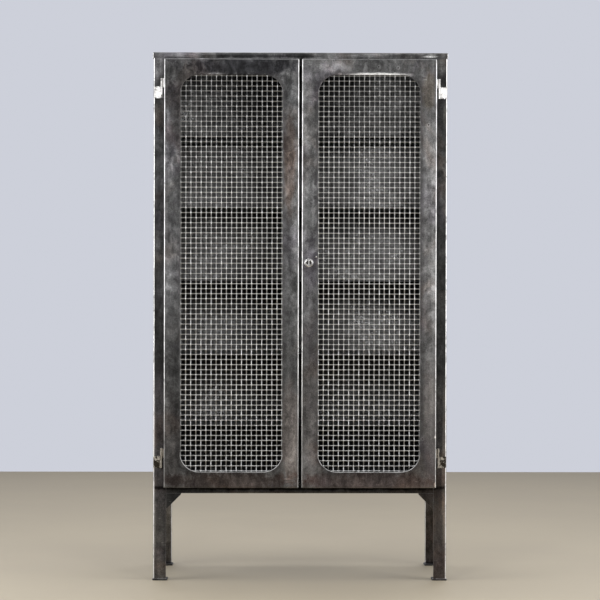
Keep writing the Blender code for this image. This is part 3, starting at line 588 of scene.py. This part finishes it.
def shelf_shadow_stops(low, high):
    """Levels of painted shadow up the inner sheet, darkest right under each shelf and the cap."""
    tops = [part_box(f"shelf_{number}")[1].z for number in range(1, 6)] + [high]
    levels = []
    floor = low
    for top, shadow_level in zip(tops, SHELF_SHADOW):
        levels += [(floor, 1.0), (top - SHADOW_START, SHADOW_START_LEVEL)]
        levels += [(top - SHADOW_MIDDLE, shadow_level + SHADOW_MIDDLE_GAIN), (top - SHADOW_END, shadow_level)]
        floor = top
    return grey_stops([((z - low) / (high - low), level) for z, level in levels])


def brushed_sheet():
    """Inner sheet brushed from side to side, darkened as painted shade in the middle and low down, with
    painted shadows under each shelf and the cap.
    """
    finish = Finish("brushed_sheet")
    cloud = finish.noise(finish.place(), 8.0, 5.0, 0.58)
    patch = finish.noise(finish.place(shift=(2.0, 5.0, 1.0)), 30.0, 4.0, 0.55)
    brush = finish.noise(finish.place((7.0, 7.0, 760.0)), 1.0, 3.0, 0.6)
    mixed = finish.total((cloud, 0.5), (patch, 0.25), (brush, 0.25))
    colour = finish.ramp(mixed, grey_stops(SHEET_STOPS))

    inner = finish.span(finish.axis("Y", "Normal"), -0.3, 0.3, 1.0, 0.0)
    height = finish.axis("Z")
    # Painted shade: the middle darkened, set to the left and broader higher up
    breadth = finish.span(height, *MIDDLE_SHADE_HEIGHTS, *MIDDLE_SHADE_BREADTHS)
    aside = finish.size_of(finish.calc("ADD", finish.axis("X"), MIDDLE_SHADE_SHIFT))
    waxed = finish.span(aside, MIDDLE_SHADE_CORE, breadth, 1.0, 0.0)
    colour = finish.shade(finish.times(waxed, inner), colour, grey(MIDDLE_SHADE_LEVEL))
    # Painted shade: the inner sheet darker low down
    low_shade = finish.span(height, *LOW_SHADE_HEIGHTS, 1.0, 0.0)
    colour = finish.shade(finish.times(low_shade, inner), colour, grey(LOW_SHADE_LEVEL))
    ragged = finish.span(patch, 0.25, 0.75, -0.25, 0.25, False)
    # Painted reflection and shade, on the inner face only
    for middle, reach, factor in BACK_PAINTED_LIGHT_AND_SHADE:
        zone = finish.times(finish.zone(middle, reach, ragged), inner)
        colour = finish.shade(zone, colour, tint(factor))

    # Painted shadows under each shelf and the cap
    low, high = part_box("back_panel")
    share = finish.span(height, low.z, high.z, smooth=False)
    colour = finish.shade(inner, colour, finish.ramp(share, shelf_shadow_stops(low.z, high.z)))
    dull = finish.span(mixed, 0.38, 0.62, 0.36, 0.27)
    return finish.close(colour, dull, finish.bump(brush, 1.0, 0.0009), 0.95)


def wire_steel():
    """Bare wire, brighter where wires cross as wear and painted highlights, with flanks dark with dirt and
    painted shade, darker high up, and darkened low down as painted shade.
    """
    finish = Finish("woven_wire")
    low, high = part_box("right_mesh_panel")
    first_column = wire_places(low.x + BORDER_BAR, high.x - BORDER_BAR)[0]
    first_row = wire_places(low.z + BORDER_BAR, high.z - BORDER_BAR)[0]
    from_column = finish.calc("SUBTRACT", finish.size_of(finish.axis("X")), first_column)
    from_row = finish.calc("SUBTRACT", finish.axis("Z"), first_row)
    from_wires = [finish.calc("PINGPONG", value, WIRE_PITCH / 2) for value in (from_column, from_row)]
    # Crossings: rubbed bright, and painted highlights on the crowns in front, dimmer on the wire behind
    crown_wear_and_highlight = finish.span(finish.calc("MAXIMUM", *from_wires), *CROSSING_REACH, 1.0, 0.0)
    crown_low, crown_high = [low.y + WIRE_PLANE - rise for rise in CROWN_RISE]
    crown_wear_and_highlight = finish.times(crown_wear_and_highlight, finish.span(finish.axis("Y"), crown_low, crown_high, 1.0, HIND_SHARE))

    cloud = finish.noise(finish.place(), 14.0, 5.0, 0.6, 0.5)
    speck = finish.noise(finish.place(), 260.0, 3.0, 0.6)
    mixed = finish.total((cloud, 0.6), (speck, 0.4))
    dull = finish.ramp(mixed, grey_stops(WIRE_DULL))
    bright = finish.ramp(mixed, grey_stops(WIRE_BRIGHT))
    colour = finish.blend(crown_wear_and_highlight, dull, bright)
    # Flanks: dirt, and painted shade that narrows each wire's bright band
    for name, start, end in WIRE_FLANKS:
        flank = finish.span(finish.size_of(finish.axis(name, "Normal")), start, end)
        colour = finish.shade(flank, colour, grey(FLANK_DIRT_AND_SHADE_LEVEL))
    # Darker high up
    darker_high = finish.span(finish.axis("Z"), *HIGH_DARK_HEIGHTS)
    colour = finish.shade(darker_high, colour, grey(HIGH_DARK_LEVEL))
    # Painted shade low down
    low_shade = finish.span(finish.axis("Z"), *WIRE_LOW_SHADE_HEIGHTS, 1.0, 0.0)
    colour = finish.shade(low_shade, colour, grey(WIRE_LOW_SHADE_LEVEL))
    roughness = finish.span(mixed, 0.34, 0.64, 0.42, 0.30)
    return finish.close(colour, roughness, finish.bump(speck, 0.2, 0.0003), 0.95)


def age_and_shade_hinge(finish, colour, patch, speck):
    """Brown and darker on the lower hinges, as rust and painted shade, with dirt and painted crease shade
    along the edges, and ragged ends on the upper leaves.
    """
    # The lower hinges made browner and darker: rust, and painted shade
    old = finish.span(finish.axis("Z"), *AGE_AND_SHADE_HEIGHTS, 1.0, 0.0)
    leaf = finish.span(finish.size_of(finish.axis("X")), *LEAF_START)
    rusty = finish.blend(finish.span(patch, 0.47, 0.55), tint(RUST_DARK), tint(RUST_PALE))
    rusty = finish.blend(leaf, tint(KNUCKLE_TINT), rusty)
    colour = finish.shade(old, colour, rusty)
    colour = finish.blend(finish.span(patch, 0.34, 0.39, 0.85, 0.0), colour, grey(0.04, 0.05))

    # Dark along rounded edges: dirt, and painted shade in the creases
    dirt = finish.times(finish.bends(), finish.span(patch, 0.44, 0.54, 0.05, 1.0))
    dirt = finish.times(dirt, finish.span(old, 0.0, 1.0, 0.30, 1.0, False))
    low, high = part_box("hinge_post_leaf_left_upper")
    half = (high.z - low.z) / 2
    from_middle = finish.size_of(finish.calc("SUBTRACT", finish.axis("Z"), (low.z + high.z) / 2))
    ends = finish.span(from_middle, half - LEAF_END[0], half - LEAF_END[1])
    ends = finish.times(ends, finish.span(old, 0.0, 1.0, 1.0, 0.0, False))
    notch = finish.times(finish.span(speck, 0.46, 0.52), finish.times(ends, leaf))
    return finish.blend(finish.calc("MAXIMUM", dirt, notch), colour, grey(0.03, 0.05))


def nickel(name, tone=1.0, smooth=0.26, aged=False, grip=None):
    """Worn bright metal with fine scratches and dull patches.

    Where it has aged it is browner and darker low down, as rust and painted shade, with dirt and painted
    crease shade along its edges. With the x and y of a grip bar's face, the bar stays bright and the pockets
    beside and behind it are darkened as painted shade.
    """
    finish = Finish(name)
    patch = finish.noise(finish.place(), 75.0, 5.0, 0.65, 0.6)
    speck = finish.noise(finish.place(shift=(3.0, 1.0, 2.0)), 300.0, 3.0, 0.6)
    line = finish.noise(finish.place((900.0, 900.0, 60.0), turn=(0.0, 0.4, 0.0)), 1.0, 2.0, 0.5)
    mixed = finish.total((patch, 0.55), (speck, 0.25), (line, 0.20))
    stops = [(position, grey(value * tone, warmth)) for position, value, warmth in NICKEL_STOPS]
    colour = finish.ramp(mixed, stops)
    if aged:
        colour = age_and_shade_hinge(finish, colour, patch, speck)
    else:
        colour = finish.blend(finish.times(finish.bends(), 0.6), colour, grey(0.85, 0.01))
    # Painted shade: the pockets beside and behind the grip bar darkened
    if grip:
        beside = finish.size_of(finish.calc("SUBTRACT", finish.axis("X"), grip[0]))
        beside = finish.span(beside, *GRIP_HALF)
        behind = finish.span(finish.axis("Y"), grip[1], grip[1] + GRIP_DEPTH)
        colour = finish.shade(finish.calc("MAXIMUM", beside, behind), colour, tint(GRIP_POCKET_SHADE))
    dull = finish.span(mixed, 0.36, 0.64, smooth + 0.14, smooth - 0.06)
    return finish.close(colour, dull, finish.bump(line, 0.15, 0.0002), 1.0)


def floor_finish():
    """Plain pale floor with a faint cloud."""
    finish = Finish("pale_floor")
    cloud = finish.noise(finish.place(), 1.4, 4.0, 0.55)
    colour = finish.blend(finish.span(cloud, 0.3, 0.7), FLOOR_COLOUR, FLOOR_CLOUD)
    finish.feed(finish.shader.inputs["Base Color"], colour)
    finish.feed(finish.shader.inputs["Roughness"], finish.span(cloud, 0.3, 0.7, 0.66, 0.58))
    return finish.material


def mesh_object(name, points, faces, material, weighted=True):
    """A new piece, smooth on its bends, and flat on its faces where its normals are weighted."""
    mesh = bpy.data.meshes.new(name)
    mesh.from_pydata(points, [], faces)
    mesh.validate()
    mesh.shade_smooth()
    mesh.set_sharp_from_angle(angle=math.radians(EDGE_ANGLE))
    mesh.materials.append(material)
    item = bpy.data.objects.new(name, mesh)
    bpy.context.scene.collection.objects.link(item)
    if weighted:
        weigh_normals(item)
    return item


def weigh_normals(item):
    modifier = item.modifiers.new("flat_faces", "WEIGHTED_NORMAL")
    modifier.keep_sharp = True
    modifier.weight = FLAT_WEIGHT


def arc(centre, radius, start, end, steps):
    """Points from one angle to another, in degrees."""
    angles = [math.radians(start + (end - start) * step / steps) for step in range(steps + 1)]
    return [(centre[0] + radius * math.cos(a), centre[1] + radius * math.sin(a)) for a in angles]


def rounded_loop(width, height, radius, steps):
    """A rectangle about the origin with round corners, anticlockwise."""
    radius = max(radius, LEAST_CORNER)
    x, y = width / 2 - radius, height / 2 - radius
    outline = []
    for index, (across, up) in enumerate(((x, y), (-x, y), (-x, -y), (x, -y))):
        outline += arc((across, up), radius, 90 * index, 90 * index + 90, steps)
    return outline


def loft(rings, closed):
    """Points and quads of rings of equal length, joined last to first or filled at both ends."""
    count = len(rings[0])
    points = [point for ring in rings for point in ring]
    faces = []
    last = len(rings) if closed else len(rings) - 1
    for row in range(last):
        here, there = row * count, (row + 1) % len(rings) * count
        for step in range(count):
            after = (step + 1) % count
            faces.append((here + step, here + after, there + after, there + step))
    if not closed:
        faces.append(tuple(range(count - 1, -1, -1)))
        faces.append(tuple(range((len(rings) - 1) * count, len(rings) * count)))
    return points, faces


def join(lofts):
    """Points and faces of several closed bodies as one mesh."""
    points, faces = [], []
    for more_points, more_faces in lofts:
        start = len(points)
        points += more_points
        faces += [tuple(start + index for index in face) for face in more_faces]
    return points, faces


def cut_out(item, cutters):
    """Cut bodies out of a piece, and keep the result as its mesh."""
    for body in cutters:
        modifier = item.modifiers.new(body.name, "BOOLEAN")
        modifier.operation = "DIFFERENCE"
        modifier.solver = "EXACT"
        modifier.object = body
    graph = bpy.context.evaluated_depsgraph_get()
    made = bpy.data.meshes.new_from_object(item.evaluated_get(graph))
    item.modifiers.clear()
    item.data = made
    made.shade_smooth()
    made.set_sharp_from_angle(angle=math.radians(EDGE_ANGLE))
    for body in cutters:
        bpy.data.objects.remove(body, do_unlink=True)
    weigh_normals(item)


def cutter(name, points, faces):
    mesh = bpy.data.meshes.new(name)
    mesh.from_pydata(points, [], faces)
    item = bpy.data.objects.new(name, mesh)
    bpy.context.scene.collection.objects.link(item)
    return item


def block(name, size, centre):
    """A box to cut with."""
    half = Vector(size) / 2
    points = [tuple(Vector(centre) + Vector((x * half.x, y * half.y, z * half.z)))
              for x in (-1, 1) for y in (-1, 1) for z in (-1, 1)]
    faces = [(0, 1, 3, 2), (4, 6, 7, 5), (0, 4, 5, 1), (2, 3, 7, 6), (0, 2, 6, 4), (1, 5, 7, 3)]
    return cutter(name, points, faces)


def turned(name, profile, centre, sides=32):
    """A body turned about Y to cut with, from pairs of a place along Y and a radius."""
    rings = []
    for along, radius in profile:
        rings.append([(centre[0] + radius * math.cos(a), centre[1] + along, centre[2] - radius * math.sin(a))
                      for a in (2 * math.pi * k / sides for k in range(sides))])
    return cutter(name, *loft(rings, False))


def door_rings(low, high):
    """The folded sheet's section, taken once round the door and its opening."""
    width, height = high.x - low.x, high.z - low.z
    front, back = low.y, high.y
    centre = (low + high) / 2

    def loop_at(grown, corner, y):
        loop = rounded_loop(width + grown, height + grown, corner, DOOR_CORNER_STEPS)
        return [(centre.x + u, y, centre.z + v) for u, v in loop]

    def outer(offset, y):
        return loop_at(2 * offset, DOOR_CORNER + offset, y)

    def opening(offset, y):
        return loop_at(2 * (offset - DOOR_BORDER), OPENING_CORNER + offset, y)

    back_bend = (-DOOR_BACK_BEND, back - DOOR_BACK_BEND)
    front_bend = (-DOOR_BEND, front + DOOR_BEND)
    roll = (OPENING_BEND, front + OPENING_BEND)
    rings = [outer(-DOOR_RETURN, back)]
    rings += [outer(u, v) for u, v in arc(back_bend, DOOR_BACK_BEND, 90, 0, BACK_BEND_STEPS)]
    rings += [outer(u, v) for u, v in arc(front_bend, DOOR_BEND, 0, -90, BEND_STEPS)]
    rings += [opening(u, v) for u, v in arc(roll, OPENING_BEND, -90, -180, ROLL_STEPS)]
    rings += [opening(0.0, front + OPENING_RIM), opening(DOOR_SHEET, front + OPENING_RIM)]
    rings += [opening(u, v) for u, v in arc(roll, OPENING_BEND - DOOR_SHEET, -180, -90, INNER_STEPS)]
    rings += [outer(u, v) for u, v in arc(front_bend, DOOR_BEND - DOOR_SHEET, -90, 0, INNER_STEPS)]
    rings += [outer(u, v) for u, v in arc(back_bend, DOOR_BACK_BEND - DOOR_SHEET, 0, 90, INNER_BACK_STEPS)]
    rings.append(outer(-DOOR_RETURN, back - DOOR_SHEET))
    return rings


def make_door_skin(side, material):
    low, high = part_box(f"{side}_door_skin")
    points, faces = loft(door_rings(low, high), True)
    skin = mesh_object(f"{side}_door_sheet", points, faces, material, weighted=False)
    bolt_low, bolt_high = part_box("lock_bolt")
    edge = high.x if side == "left" else low.x
    middle = (bolt_low + bolt_high) / 2
    cutters = [block("bolt_slot", BOLT_SLOT, (edge, middle.y, middle.z))]
    if side == "right":
        holes = (("plug_hole", "lock_rosette", PLUG_HOLE), ("rivet_hole", "mesh_rivet", RIVET_HOLE))
        for name, node, radius in holes:
            node_low, node_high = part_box(node)
            ends = [(-HOLE_REACH, radius), (HOLE_REACH, radius)]
            cutters.append(turned(name, ends, (node_low + node_high) / 2))
        angles = [math.radians(90 - SPOT_SPREAD * step / SPOT_STEPS) for step in range(SPOT_STEPS + 1)]
        ball = [(SPOT_BALL * math.sin(a), max(SPOT_BALL * math.cos(a), SPOT_TIP)) for a in reversed(angles)]
        for number, (x, z) in enumerate(DOOR_SPOTS):
            centre = (x, low.y + SPOT_DEPTH - SPOT_BALL, z)
            cutters.append(turned(f"spot_{number}", ball, centre, SPOT_SIDES))
    cut_out(skin, cutters)
    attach(skin, f"{side}_door")
    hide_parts(f"{side}_door_skin")


def wire_places(low, high):
    """Places of the wires between two walls, at an even pitch about the middle."""
    count = int((high - low - 2 * WIRE_RADIUS) / WIRE_PITCH) + 1
    middle = (low + high) / 2
    return [middle + (index - (count - 1) / 2) * WIRE_PITCH for index in range(count)]


def crimped_tube(places, low, high, parity, fixed, crimp, along):
    """One wire that passes in front of and behind the wires at places, as a closed tube."""
    path = [(low, 0.0)]
    for index, place in enumerate(places):
        front = -1 if (index + parity) % 2 else 1
        for step in range(-WIRE_STEPS // 2, WIRE_STEPS // 2):
            share = step / WIRE_STEPS
            if place + share * WIRE_PITCH > low + WIRE_RADIUS:
                path.append((place + share * WIRE_PITCH, front * crimp * math.cos(math.pi * share)))
    path.append((high, 0.0))
    rings = []
    for index, (distance, sway) in enumerate(path):
        before, after = path[max(index - 1, 0)], path[min(index + 1, len(path) - 1)]
        run, rise = after[0] - before[0], after[1] - before[1]
        length = math.hypot(run, rise)
        ring = []
        for side in range(WIRE_SIDES):
            angle = 2 * math.pi * side / WIRE_SIDES - math.pi / 2
            across, out = WIRE_RADIUS * math.cos(angle), WIRE_RADIUS * math.sin(angle)
            ring.append(along(distance - out * rise / length, sway + out * run / length, fixed + across))
        rings.append(ring)
    return loft(rings, False)


def make_mesh_panel(side, wire, bar):
    """Crimped wires woven over and under each other, held in a border bar behind the door's sheet."""
    low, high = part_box(f"{side}_mesh_panel")
    inner_low = low + Vector((BORDER_BAR, 0.0, BORDER_BAR))
    inner_high = high - Vector((BORDER_BAR, 0.0, BORDER_BAR))
    plane = low.y + WIRE_PLANE
    columns = wire_places(inner_low.x, inner_high.x)
    rows = wire_places(inner_low.z, inner_high.z)
    tubes = []
    for index, x in enumerate(columns):
        tubes.append(crimped_tube(rows, inner_low.z - WIRE_ANCHOR, inner_high.z + WIRE_ANCHOR, index,
                                  x + RANDOM.uniform(-WIRE_SWAY, WIRE_SWAY), COLUMN_CRIMP,
                                  lambda run, out, across: (across, plane + out, run)))
    for index, z in enumerate(rows):
        tubes.append(crimped_tube(columns, inner_low.x - WIRE_ANCHOR, inner_high.x + WIRE_ANCHOR, index + 1,
                                  z + RANDOM.uniform(-WIRE_SWAY, WIRE_SWAY), ROW_CRIMP,
                                  lambda run, out, across: (run, plane + out, across)))
    points, faces = join(tubes)
    weave = mesh_object(f"{side}_woven_wire", points, faces, wire, weighted=False)
    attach(weave, f"{side}_door")
    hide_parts(f"{side}_mesh_panel")

    centre = (low + high) / 2
    width, height = high.x - low.x, high.z - low.z
    section = rounded_loop(BORDER_BAR, high.y - low.y, BORDER_ROUND, BORDER_STEPS)
    rings = []
    for across, deep in section:
        inset = BORDER_BAR / 2 - across
        loop = rounded_loop(width - 2 * inset, height - 2 * inset, BORDER_CORNER, BORDER_STEPS)
        rings.append([(centre.x + u, centre.y + deep, centre.z + v) for u, v in loop])
    points, faces = loft(rings, True)
    border = mesh_object(f"{side}_mesh_border", points, faces, bar)
    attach(border, f"{side}_door")


def make_cap(material):
    """The folded top, one sheet with its rim turned down and its corners closed."""
    low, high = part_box("top_cap")
    centre = (low + high) / 2
    width, depth = high.x - low.x, high.y - low.y

    def ring(offset, z):
        loop = rounded_loop(width + 2 * offset, depth + 2 * offset, CAP_CORNER + offset, CAP_CORNER_STEPS)
        return [(centre.x + u, centre.y + v, z) for u, v in loop]

    bend = (-CAP_BEND, high.z - CAP_BEND)
    rings = [ring(u, v) for u, v in arc(bend, CAP_BEND, 90, 0, CAP_BEND_STEPS)]
    rings += [ring(0.0, low.z), ring(-CAP_SHEET, low.z)]
    rings += [ring(u, v) for u, v in arc(bend, CAP_BEND - CAP_SHEET, 0, 90, CAP_INNER_STEPS)]
    points, faces = loft(rings, False)
    cap = mesh_object("folded_cap", points, [tuple(reversed(face)) for face in faces], material)
    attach(cap, "case")
    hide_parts("top_cap")


def round_ring(middle, side, up, radius, sides):
    """Points of a circle about a place, in the plane of two directions."""
    angles = [2 * math.pi * k / sides for k in range(sides)]
    return [tuple(middle + radius * (side * math.cos(a) + up * math.sin(a))) for a in angles]


def bead(start, end, radius):
    """A rippled weld bead along X or Y, half sunk in the faces that it joins."""
    start, end = Vector(start), Vector(end)
    up = Vector((0.0, 0.0, 1.0))
    side = up.cross((end - start).normalized())
    count = RIPPLE_STEPS * max(int((end - start).length / BEAD_RIPPLE), 2)
    rings = []
    for step in range(count + 1):
        swell = BEAD_SWELL * math.sin(2 * math.pi * step / RIPPLE_STEPS)
        ripple = BEAD_LEVEL + swell + RANDOM.uniform(-BEAD_SCATTER, BEAD_SCATTER)
        taper = BEAD_END if step in (0, count) else 1.0
        rings.append(round_ring(start.lerp(end, step / count), side, up, radius * ripple * taper, BEAD_SIDES))
    return loft(rings, False)


def dome(place, out, radius, height):
    """A low round weld mark on a face, its foot sunk in the face."""
    place, out = Vector(place), Vector(out)
    side = out.orthogonal().normalized()
    up = out.cross(side)
    profile = [(1.0, -DOME_SINK)] + [(share, rise * height) for share, rise in DOME_PROFILE]
    rings = [round_ring(place + out * lift, side, up, radius * share, DOME_SIDES) for share, lift in profile]
    return loft(rings, False)


def dome_row(x, y, low, high, out):
    """A row of round weld marks up a post, each a little off its place."""
    marks = []
    z = low + DOME_PITCH / 2
    while z < high - DOME_TOP_ROOM:
        place = (x, y, z + RANDOM.uniform(-DOME_SCATTER, DOME_SCATTER))
        marks.append(dome(place, out, DOME_RADIUS, DOME_HEIGHT))
        z += DOME_PITCH
    return marks


def add_welds(name, lofts, material):
    points, faces = join(lofts)
    welds = mesh_object(name, points, faces, material, weighted=False)
    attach(welds, "case")


def make_welds(material, bright):
    """Beads at the feet, spot welds that hold the panels to the posts, and plug welds on the hinges."""
    for end, front in (("front", 1), ("rear", -1)):
        beads = []
        for side, across in (("left", 1), ("right", -1)):
            low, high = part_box(f"post_{end}_{side}")
            heel_x, toe_x = (low.x, high.x) if side == "left" else (high.x, low.x)
            heel_y, toe_y = (low.y, high.y) if end == "front" else (high.y, low.y)
            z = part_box(f"foot_{end}_{side}")[1].z
            beads.append(bead((heel_x + across * HEEL_ROOM, heel_y, z), (toe_x, heel_y, z), BEAD_RADIUS))
            beads.append(bead((heel_x, heel_y + front * HEEL_ROOM, z), (heel_x, toe_y, z), BEAD_RADIUS))
        add_welds(f"foot_beads_{end}", beads, material)
    for side, out in (("left", -1), ("right", 1)):
        marks = []
        for end, front in (("front", 1), ("rear", -1)):
            low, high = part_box(f"post_{end}_{side}")
            x = low.x if side == "left" else high.x
            y = (low.y if end == "front" else high.y) + front * POST_FLANGE / 2
            marks += dome_row(x, y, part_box(f"side_panel_{side}")[0].z, high.z, (out, 0, 0))
        low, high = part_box(f"post_rear_{side}")
        x = (low.x if side == "left" else high.x) - out * POST_FLANGE / 2
        marks += dome_row(x, high.y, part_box("back_panel")[0].z, high.z, (0, 1, 0))
        add_welds(f"spot_welds_{side}", marks, material)
    marks = []
    for side, out in (("left", -1), ("right", 1)):
        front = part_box(f"post_front_{side}")[0].y - LEAF_FACE
        for level in ("upper", "lower"):
            low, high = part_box(f"hinge_post_leaf_{side}_{level}")
            x = (low.x if side == "left" else high.x) - out * PLUG_WELD_INSET
            middle = (low.z + high.z) / 2
            for rise in PLUG_WELD_RISES:
                marks.append(dome((x, front, middle + rise), (0, -1, 0), PLUG_WELD_RADIUS, DOME_HEIGHT))
    add_welds("hinge_plug_welds", marks, bright)


def smooth_group():
    """A geometry node group that shades a solid's round faces smooth and keeps its edges sharp."""
    group = bpy.data.node_groups.new("join_and_smooth", "GeometryNodeTree")
    group.interface.new_socket("Geometry", in_out="INPUT", socket_type="NodeSocketGeometry")
    group.interface.new_socket("Geometry", in_out="OUTPUT", socket_type="NodeSocketGeometry")
    start = group.nodes.new("NodeGroupInput")
    end = group.nodes.new("NodeGroupOutput")
    angle = group.nodes.new("GeometryNodeInputMeshEdgeAngle")
    sharp = group.nodes.new("FunctionNodeCompare")
    sharp.inputs[1].default_value = math.radians(CURVE_ANGLE)
    normal = group.nodes.new("GeometryNodeSetMeshNormal")
    normal.mode = "SHARPNESS"
    normal.inputs["Remove Custom"].default_value = True
    group.links.new(angle.outputs["Unsigned Angle"], sharp.inputs[0])
    group.links.new(sharp.outputs[0], normal.inputs["Edge Sharpness"])
    group.links.new(start.outputs[0], normal.inputs["Mesh"])
    group.links.new(normal.outputs[0], end.inputs[0])
    return group


def soften(item, group, width):
    """Join a carried-over solid's facets, round its sharp edges, and shade its round faces smooth."""
    weld = item.modifiers.new("join_facets", "WELD")
    weld.merge_threshold = JOIN_DISTANCE
    flat = item.modifiers.new("whole_faces", "DECIMATE")
    flat.decimate_type = "DISSOLVE"
    flat.angle_limit = math.radians(FLAT_ANGLE)
    bevel = item.modifiers.new("round_edges", "BEVEL")
    bevel.width = width
    bevel.segments = EDGE_SEGMENTS
    bevel.limit_method = "ANGLE"
    bevel.angle_limit = math.radians(EDGE_ANGLE)
    smooth = item.modifiers.new("smooth", "NODES")
    smooth.node_group = group
    weigh_normals(item)


def dress_solids(nodes, finishes, own_finishes):
    """Give each solid that still shows its finish and its rounded edges."""
    group = smooth_group()
    slots = {row["node"]: row["material_slot"] for row in frame["record"]["subparts"]}
    for name, item in nodes.items():
        if item.hide_render:
            continue
        material = finishes[slots[name]]
        for start, own in own_finishes.items():
            if name.startswith(start):
                material = own
        for place in item.material_slots:
            place.material = material
        thin = [width for start, width in THIN_ROUND.items() if name.startswith(start)]
        soften(item, group, min(thin, default=EDGE_ROUND))


def make_floor():
    mesh = bpy.data.meshes.new("floor")
    x, y = FLOOR_HALF_WIDTH, FLOOR_REACH
    mesh.from_pydata([(-x, -y, 0.0), (x, -y, 0.0), (x, y, 0.0), (-x, y, 0.0)], [], [(0, 1, 2, 3)])
    mesh.materials.append(floor_finish())
    floor = bpy.data.objects.new("floor", mesh)
    bpy.context.scene.collection.objects.link(floor)


def make_world():
    """A pale wall behind, bright sides and a dim room in front, which fill the shadows only softly."""
    world = bpy.data.worlds.new("studio")
    bpy.context.scene.world = world
    world.use_nodes = True
    tree = world.node_tree
    where = tree.nodes.new("ShaderNodeTexCoord")
    split = tree.nodes.new("ShaderNodeSeparateXYZ")
    ramp = tree.nodes.new("ShaderNodeValToRGB")
    spread = tree.nodes.new("ShaderNodeMapRange")
    spread.inputs["From Min"].default_value = -1.0
    tree.links.new(where.outputs["Generated"], split.inputs[0])
    tree.links.new(split.outputs["Y"], spread.inputs["Value"])
    tree.links.new(spread.outputs[0], ramp.inputs["Fac"])
    fill_ramp(ramp, WORLD_STOPS)
    tree.links.new(ramp.outputs["Color"], tree.nodes["Background"].inputs["Color"])

    light = tree.nodes.new("ShaderNodeLightPath")
    seen = light.outputs["Is Camera Ray"]
    for name in ("Is Glossy Ray", "Is Transmission Ray"):
        most = tree.nodes.new("ShaderNodeMath")
        most.operation = "MAXIMUM"
        tree.links.new(seen, most.inputs[0])
        tree.links.new(light.outputs[name], most.inputs[1])
        seen = most.outputs[0]
    level = tree.nodes.new("ShaderNodeMapRange")
    level.inputs["To Min"].default_value = WORLD_FILL
    tree.links.new(seen, level.inputs["Value"])
    tree.links.new(level.outputs[0], tree.nodes["Background"].inputs["Strength"])


def area_light(name, place, aim, size, power):
    light = bpy.data.lights.new(name, "AREA")
    light.shape = "RECTANGLE"
    light.size, light.size_y = size
    light.energy = power
    item = bpy.data.objects.new(name, light)
    item.location = place
    item.rotation_euler = (Vector(aim) - Vector(place)).to_track_quat("-Z", "Y").to_euler()
    bpy.context.scene.collection.objects.link(item)


def make_lights():
    for side in (-1, 1):
        mirror = Vector((side, 1.0, 1.0))
        for name, place, aim, size, power in LAMP_PAIRS:
            area_light(f"{name}_{side}", mirror * Vector(place), mirror * Vector(aim), size, power)
    area_light(*TOP_LAMP)


def make_camera():
    camera = bpy.data.cameras.new("camera")
    camera.lens = CAMERA_LENS
    camera.sensor_width = CAMERA_SENSOR
    item = bpy.data.objects.new("camera", camera)
    bpy.context.scene.collection.objects.link(item)
    yaw, pitch = math.radians(CAMERA_YAW), math.radians(CAMERA_PITCH)
    ahead = Vector((math.sin(yaw) * math.cos(pitch), math.cos(yaw) * math.cos(pitch), math.sin(pitch)))
    right = Vector((math.cos(yaw), -math.sin(yaw), 0.0))
    up = right.cross(ahead)
    axes = Matrix((right, up, -ahead)).transposed().to_4x4()
    roll = Matrix.Rotation(math.radians(CAMERA_ROLL), 4, "Z")
    item.matrix_world = Matrix.Translation(CAMERA_PLACE) @ axes @ roll
    bpy.context.scene.camera = item


clear_scene()
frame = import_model()
bpy.context.scene.view_settings.view_transform = "Standard"
make_camera()

door = steel("door_sheet", tone=0.73, roughness=0.53, patina_and_light=DOOR_PATINA_AND_LIGHT, door=True)
bare = steel("bare_steel_sheet", tone=0.80, patina_and_light=CAP_PATINA)
dark = steel("dark_steel_bar", tone=0.45, wear=0.6)
angle = steel("angle_steel", tone=0.31, rust=0.6, patina_and_light=FRAME_PATINA_AND_LIGHT)
# The rear posts take the front posts' steel made lighter, as painted light
rear_angle = steel("rear_angle_steel", tone=0.50, rust=0.6, patina_and_light=FRAME_PATINA_AND_LIGHT)
shelf = steel("shelf_sheet", tone=0.85, roughness=0.38, wear=0.0, painted_shade_front=True)
brushed = brushed_sheet()
wire = wire_steel()
polished = nickel("worn_nickel", tone=0.60)
ring_low, ring_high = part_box("lock_rosette")
grip_face = ((ring_low.x + ring_high.x) / 2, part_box("lock_plug")[0].y + GRIP_SETBACK)
plug = nickel("worn_plug", tone=0.45, smooth=0.40, grip=grip_face)
hinge = nickel("worn_hinge", smooth=0.40, aged=True)
for side in ("left", "right"):
    make_door_skin(side, door)
    make_mesh_panel(side, wire, dark)
make_cap(bare)
make_welds(angle, hinge)
dress_solids(
    frame["nodes"],
    {"bare_steel": bare, "dark_steel": dark, "wire_steel": wire, "nickel": polished},
    {"back_panel": brushed, "shelf": shelf, "bottom_pan": shelf, "hinge": hinge, "post": angle,
     "post_rear": rear_angle, "header": angle, "sill": angle, "gusset": angle, "lock_plug": plug})
make_floor()
make_world()
make_lights()
